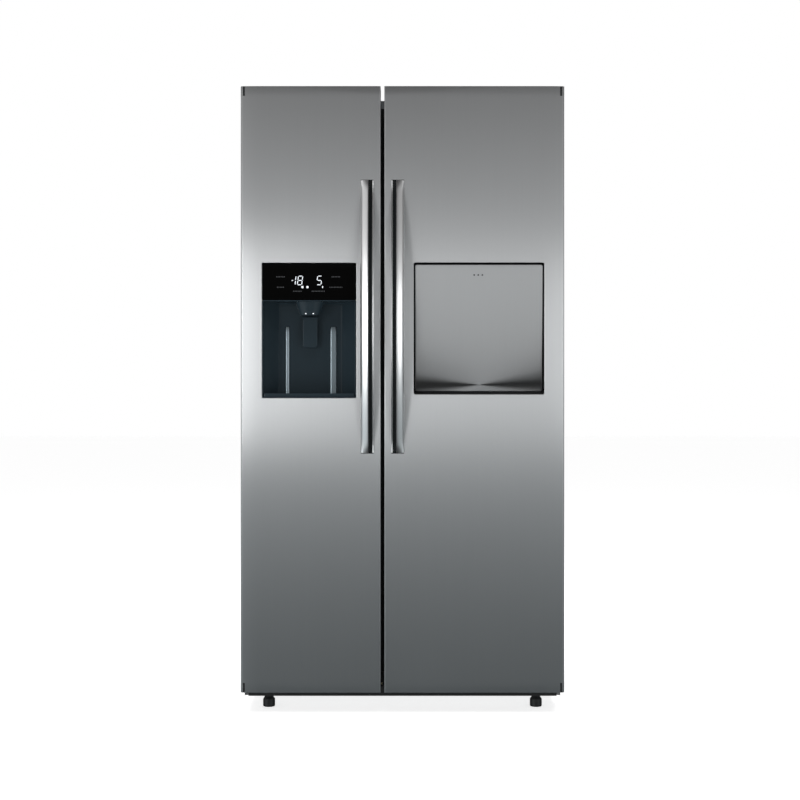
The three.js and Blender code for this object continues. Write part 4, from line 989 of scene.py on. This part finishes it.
class REFRIGERATOR_OT_cabinet(Operator):
    """Builds the cabinet's shell, liners, centre rail and back; the rail is made dark to paint the shade in
    the seam between the doors
    """
    bl_idname = "refrigerator.cabinet"
    bl_label = "Cabinet"

    def execute(self, context):
        sizes = context.scene.refrigerator_sizes
        refined("cabinet_wrapper", "cabinet_shell", "grey_cabinet_steel", ROOT, 0.45 * MM)
        refined("cabinet_back", "cabinet_rear_sheet", "zinc_steel", ROOT, 0.3 * MM)
        NODES["cabinet_foam"].data.materials.clear()
        NODES["cabinet_foam"].data.materials.append(FINISHES["foam"])
        cavity_liner("freezer_compartment", "freezer_liner", sizes)
        cavity_liner("fridge_compartment", "fridge_liner", sizes)
        # The centre rail is a real part, but its dark plastic paints the shade that fills the seam between
        # the doors.
        left, right = Edges("freezer_door_gasket"), Edges("fridge_door_gasket")
        y = left.y1 - 0.25 * MM
        rail = slab(left.x1 + 0.5 * MM, right.x0 - 0.5 * MM, y - 1.5 * MM, y, left.z0, left.z1,
                    1 * MM, 0.5 * MM)
        built("centre_rail", [rail], "dark_plastic", ROOT)
        return {"FINISHED"}


SCREW_PROFILE = (  # a screw head, as (y, radius) in mm
    (-0.4, 4.4), (0.3, 4.4), (1.0, 4.0), (1.5, 2.8), (1.6, 1.2), (0.7, 0.8),
)


def screw_head(name):
    """A low round screw head that faces backwards, around the origin."""
    return lofted(name, [
        at_y(y * MM, rounded(-r * MM, r * MM, -r * MM, r * MM, r * MM, 3)) for y, r in SCREW_PROFILE])


class REFRIGERATOR_OT_rear_screws(Operator):
    """Screws the rear panel and the machine cover to the cabinet"""
    bl_idname = "refrigerator.rear_screws"
    bl_label = "Rear screws"

    def execute(self, context):
        count = context.scene.refrigerator_sizes.rear_screws
        across = 5
        for node, margin, up in (("cabinet_back", 14 * MM, count), ("machine_cover", 12 * MM, 3)):
            e = Edges(node)
            x0, x1, z0, z1 = grown((e.x0, e.x1, e.z0, e.z1), -margin)
            across_step, up_step = (x1 - x0) / (across - 1), (z1 - z0) / (up + 1)
            for edge, start, step, n in (
                ("lower", (x0, e.y1, z0), (across_step, 0, 0), across),
                ("upper", (x0, e.y1, z1), (across_step, 0, 0), across),
                ("left", (x0, e.y1, z0 + up_step), (0, 0, up_step), up),
                ("right", (x1, e.y1, z0 + up_step), (0, 0, up_step), up),
            ):
                name = f"{node}_screws_{edge}"
                row(name, screw_head(f"{name}_item"), n, start, step, "black_trim", ROOT)
        return {"FINISHED"}


class REFRIGERATOR_OT_hinges(Operator):
    """Fits the hinges and their covers"""
    bl_idname = "refrigerator.hinges"
    bl_label = "Hinges"

    def execute(self, context):
        for side in ("left", "right"):
            for node, name in (("upper_hinge", "top_hinge"), ("lower_hinge", "foot_hinge")):
                refined(f"{node}_{side}", f"{name}_{side}", "zinc_steel", ROOT, 0.5 * MM, 30)
            refined(f"hinge_cover_{side}", f"hinge_cap_{side}", "dark_plastic", ROOT, 0.8 * MM, 30)
        return {"FINISHED"}


FOOT_SIDE = (  # a levelling foot's side, as (inside its widest, above its bottom) in mm
    (3, 0), (1, 0.6), (0, 3), (0, 21), (0.8, 22.5), (4.5, 28), (6, 29), (6, 33), (6.5, 33.6),
)
FOOT_STEM = 5 * MM


def foot_profile(e):
    """A levelling foot from its pad to its stem, as (radius, z)."""
    pad = (e.x1 - e.x0) / 2
    side = [(pad - inside * MM, e.z0 + up * MM) for inside, up in FOOT_SIDE]
    return [(0, e.z0), *side, (FOOT_STEM, side[-1][1]), (FOOT_STEM, e.z1 - 0.5 * MM),
            (FOOT_STEM - 0.5 * MM, e.z1), (0, e.z1)]


class REFRIGERATOR_OT_base(Operator):
    """Builds the base pan, kick plate, feet and rollers"""
    bl_idname = "refrigerator.base"
    bl_label = "Base"

    def execute(self, context):
        soft = context.scene.refrigerator_sizes.softness
        refined("base_pan", "base_tray", "zinc_steel", ROOT, 0.4 * MM)
        refined("kick_plate", "kick_board", "dark_plastic", ROOT, soft)
        for side in ("left", "right"):
            foot, roller = f"foot_{side}", f"rear_roller_{side}"
            e = Edges(foot)
            turned = revolved(foot_profile(e), e.x, e.y, 40)
            built(f"levelling_{foot}", [turned], "dark_plastic", foot, foot)
            refined(roller, f"roller_wheel_{side}", "dark_plastic", roller, 0.6 * MM, 30)
        return {"FINISHED"}


class REFRIGERATOR_OT_machine(Operator):
    """Builds the machine space at the back: cover, compressor and fan"""
    bl_idname = "refrigerator.machine"
    bl_label = "Machine space"

    def execute(self, context):
        refined("machine_cover", "machine_cover_sheet", "zinc_steel", ROOT, 0.3 * MM)
        refined("compressor", "compressor_shell", "black_enamel", ROOT, 3 * MM, 30)
        refined("condenser_fan", "condenser_fan_wheel", "dark_plastic", "condenser_fan", 0.4 * MM, 25)
        return {"FINISHED"}


# ---- insides

class REFRIGERATOR_OT_freezer_inside(Operator):
    """Fits the freezer's drawers, shelf, ice maker, bucket and air cover"""
    bl_idname = "refrigerator.freezer_inside"
    bl_label = "Freezer inside"

    def execute(self, context):
        soft = context.scene.refrigerator_sizes.softness
        for place in ("lower", "upper"):
            refined(f"freezer_drawer_{place}", f"freezer_box_{place}", "clear_plastic", ROOT, soft)
        refined("freezer_shelf", "freezer_glass_shelf", "shelf_glass", ROOT, 1.2 * MM)
        refined("ice_bucket", "ice_bucket_moulding", "clear_plastic", ROOT, soft)
        refined("ice_maker", "ice_maker_case", "white_plastic", ROOT, 1.2 * MM)
        refined("evaporator_cover", "air_cover", "white_plastic", ROOT, 0.8 * MM)
        refined("ice_auger", "auger_screw", "zinc_steel", "ice_auger", 0.0, 30)
        refined("evaporator_fan", "evaporator_fan_wheel", "dark_plastic", "evaporator_fan", 0.4 * MM, 25)
        return {"FINISHED"}


class REFRIGERATOR_OT_fridge_inside(Operator):
    """Fits the refrigerator's crispers, shelves and air duct"""
    bl_idname = "refrigerator.fridge_inside"
    bl_label = "Refrigerator inside"

    def execute(self, context):
        soft = context.scene.refrigerator_sizes.softness
        for place in ("lower", "upper"):
            refined(f"crisper_{place}", f"crisper_box_{place}", "clear_plastic", ROOT, soft)
        refined("crisper_cover", "crisper_glass_shelf", "shelf_glass", ROOT, 1.2 * MM)
        refined("fridge_shelf", "fridge_glass_shelf", "shelf_glass", ROOT, 1.2 * MM)
        refined("fridge_air_duct", "fridge_air_column", "white_plastic", ROOT, 1.0 * MM)
        return {"FINISHED"}


# ---- stage

BAND_LIFT, BAND_HALF = 0.058, 0.132  # the band's middle above the horizon and its half height, in radians
BOX_SPAN = (-0.42, 0.55, 0.35)  # the tall boxes' bottom, top and softness


def studio_sky():
    """A dim studio: one soft level band of light in front, and two tall soft boxes beside it."""
    world = bpy.data.worlds.new("studio")
    bpy.context.scene.world = world
    world.use_nodes = True
    n = Nodes(world.node_tree)
    way = n.node("ShaderNodeTexCoord", out=0)
    split = n.tree.nodes.new("ShaderNodeSeparateXYZ")
    n.tree.links.new(way.socket, split.inputs[0])
    x, y, z = [Tone(n, s) for s in split.outputs]
    turn = x.math("ARCTAN2", x, 0 - y)
    lift = z.math("ARCSINE", z)
    offset = (lift - BAND_LIFT) / BAND_HALF
    glow = offset.math("EXPONENT", 0 - (offset * offset) ** 1.5)
    ahead = 0.25 + turn.band(-1.0, -0.3, 0.2) + turn.band(0.3, 1.0, 0.2)
    left = turn.band(-1.3, -0.6, 0.16) * lift.band(*BOX_SPAN)
    right = turn.band(0.6, 1.3, 0.16) * lift.band(*BOX_SPAN)
    above = lift.rise(0.7, 1.2)
    light = 0.002 + 0.55 * glow * ahead + 0.6 * left + 0.36 * right + 0.6 * above
    tint = n.blend(lift.rise(-0.3, 0.25), (0.86, 0.96, 1.0, 1), (1.0, 1.0, 1.0, 1))
    dim = n.node("ShaderNodeBackground", {}, {"Color": tint, "Strength": light})
    white = n.node("ShaderNodeBackground", {}, {"Color": (1, 1, 1, 1), "Strength": 1.0})
    seen = n.node("ShaderNodeLightPath", out=0)
    both = n.node("ShaderNodeMixShader", {}, {0: seen, 1: dim, 2: white})
    n.node("ShaderNodeOutputWorld", {}, {"Surface": both})


FLOOR_REACH = 30.0
EYE_AWAY, EYE_HEIGHT = 4.0, 0.872
LEVEL = pi / 2  # turns a lamp or camera from looking down to looking level


def soft_box(name, wide, high, energy, place):
    """A rectangular area light."""
    lamp = bpy.data.lights.new(name, "AREA")
    lamp.shape, lamp.size, lamp.size_y, lamp.energy = "RECTANGLE", wide, high, energy
    made = added(name, lamp)
    made.location = place
    return made


class REFRIGERATOR_OT_stage(Operator):
    """Sets up the floor, the studio light and the camera"""
    bl_idname = "refrigerator.stage"
    bl_label = "Stage"

    def execute(self, context):
        scene = context.scene
        colours = scene.refrigerator_colours
        scene.view_settings.view_transform = "Standard"
        studio_sky()
        bm = bmesh.new()
        corners = ((-1, -1), (1, -1), (1, 1), (-1, 1))
        bm.faces.new([bm.verts.new((x * FLOOR_REACH, y * FLOOR_REACH, 0)) for x, y in corners])
        floor = mesh_object("floor", bm)
        floor.data.materials.append(shader(
            "floor", lambda n: {
                "Base Color": n.mottle(n.noise(1.5), colours.floor, 0.99, 1.0),
                "Roughness": 0.7 + 0.1 * n.noise(4.0)},
            **{"Emission Color": (1, 1, 1, 1), "Emission Strength": 0.75}))
        floor.visible_glossy = False

        overhead = soft_box("overhead", 5.0, 5.0, 160.0, (0, -0.6, 4.2))
        overhead.visible_glossy = False
        for name, x, y, energy in (("left_box", -1.35, -1.9, 7.0), ("right_box", 1.6, -2.2, 3.5)):
            box = soft_box(name, 0.5, 0.8, energy, (x, y, 1.1))
            box.rotation_euler = (LEVEL, 0, atan2(x, -y))
            box.visible_camera = False

        view = bpy.data.cameras.new("camera")
        view.lens, view.sensor_width = 64.8, 36.0
        eye = added("camera", view)
        eye.location = (-0.007, Edges("freezer_door_skin").y0 - EYE_AWAY, EYE_HEIGHT)
        eye.rotation_euler = (LEVEL, 0, 0)
        scene.camera = eye
        return {"FINISHED"}


PANEL_SHADE = 0.7  # the home bar panel's steel is the doors' steel darkened by this share


class REFRIGERATOR_OT_finishes(Operator):
    """Mixes the finishes that the pieces share"""
    bl_idname = "refrigerator.finishes"
    bl_label = "Finishes"

    def execute(self, context):
        c = context.scene.refrigerator_colours
        FINISHES.update({
            "brushed_steel": brushed_steel("brushed_steel", c.steel),
            "panel_steel": brushed_steel("panel_steel", [PANEL_SHADE * v for v in c.steel]),
            "grey_cabinet_steel": textured_paint(c.cabinet),
            "satin_aluminium": satin_aluminium(c.handle),
            "zinc_steel": zinc_plate((0.5, 0.51, 0.52)),
            "foam": rigid_foam((0.8, 0.72, 0.5)),
            "white_plastic": moulded_plastic("white_plastic", c.liner, 0.32, 500.0, 0.06),
            "clear_plastic": clear_sheet("clear_plastic", (0.75, 0.85, 0.9), (0.85, 0.93, 0.97), 0.22, 0.08),
            "shelf_glass": clear_sheet("shelf_glass", (0.7, 0.86, 0.82), (0.35, 0.62, 0.55), 0.25, 0.03),
            "dark_plastic": moulded_plastic("dark_plastic", c.dark, 0.45, 900.0, 0.15),
            "recess_plastic": moulded_plastic(
                "recess_plastic", c.recess, 0.24, 700.0, 0.02, **{"Specular IOR Level": 0.3}),
            "bead_metal": moulded_plastic("bead_metal", (0.33, 0.4, 0.44), 0.3, 300.0, 0.02, Metallic=0.7),
            # a glow that paints the highlights at the nozzle's mouth
            "painted_nozzle_glint": lit_marks("painted_nozzle_glint", (0.9, 0.95, 1.0), 0.6),
            "black_glass": moulded_plastic(
                "black_glass", (0.0015, 0.0015, 0.0015), 0.06, 60.0, 0.0, **{"Specular IOR Level": 0.06}),
            "black_trim": moulded_plastic(
                "black_trim", (0.006, 0.007, 0.0075), 0.3, 700.0, 0.03, **{"Specular IOR Level": 0.15}),
            "seal_rubber": moulded_plastic("seal_rubber", (0.2, 0.205, 0.21), 0.6, 700.0, 0.1),
            "black_enamel": moulded_plastic("black_enamel", (0.012, 0.012, 0.013), 0.22, 200.0, 0.08),
            "lit_marks": lit_marks("lit_marks", c.glow, 0.32),
            "dim_marks": lit_marks("dim_marks", (0.035, 0.037, 0.04), 0.25),
        })
        return {"FINISHED"}


# ---- layout

OPERATORS = (
    REFRIGERATOR_OT_finishes, REFRIGERATOR_OT_stage, REFRIGERATOR_OT_door_fronts, REFRIGERATOR_OT_door_caps,
    REFRIGERATOR_OT_handles, REFRIGERATOR_OT_dispenser, REFRIGERATOR_OT_display,
    REFRIGERATOR_OT_display_labels, REFRIGERATOR_OT_home_bar, REFRIGERATOR_OT_gaskets,
    REFRIGERATOR_OT_door_insides, REFRIGERATOR_OT_cabinet, REFRIGERATOR_OT_rear_screws,
    REFRIGERATOR_OT_hinges, REFRIGERATOR_OT_base, REFRIGERATOR_OT_machine,
    REFRIGERATOR_OT_freezer_inside, REFRIGERATOR_OT_fridge_inside,
)


class REFRIGERATOR_PT_panel(Panel):
    """Lists the refrigerator's settings and its building steps"""
    bl_idname = "REFRIGERATOR_PT_panel"
    bl_label = "Refrigerator"
    bl_space_type = "VIEW_3D"
    bl_region_type = "UI"
    bl_category = "Refrigerator"

    def draw(self, context):
        for group in (context.scene.refrigerator_sizes, context.scene.refrigerator_colours):
            for name in group.__annotations__:
                self.layout.prop(group, name)
        for operator in OPERATORS:
            self.layout.operator(operator.bl_idname)


CLASSES = (RefrigeratorSizes, RefrigeratorColours, *OPERATORS, REFRIGERATOR_PT_panel)


def register():
    for each in CLASSES:
        bpy.utils.register_class(each)
    bpy.types.Scene.refrigerator_sizes = PointerProperty(type=RefrigeratorSizes)
    bpy.types.Scene.refrigerator_colours = PointerProperty(type=RefrigeratorColours)


def unregister():
    del bpy.types.Scene.refrigerator_sizes
    del bpy.types.Scene.refrigerator_colours
    for each in reversed(CLASSES):
        bpy.utils.unregister_class(each)


def main():
    register()
    for operator in OPERATORS:
        group, name = operator.bl_idname.split(".")
        getattr(getattr(bpy.ops, group), name)()


if __name__ == "__main__":
    main()
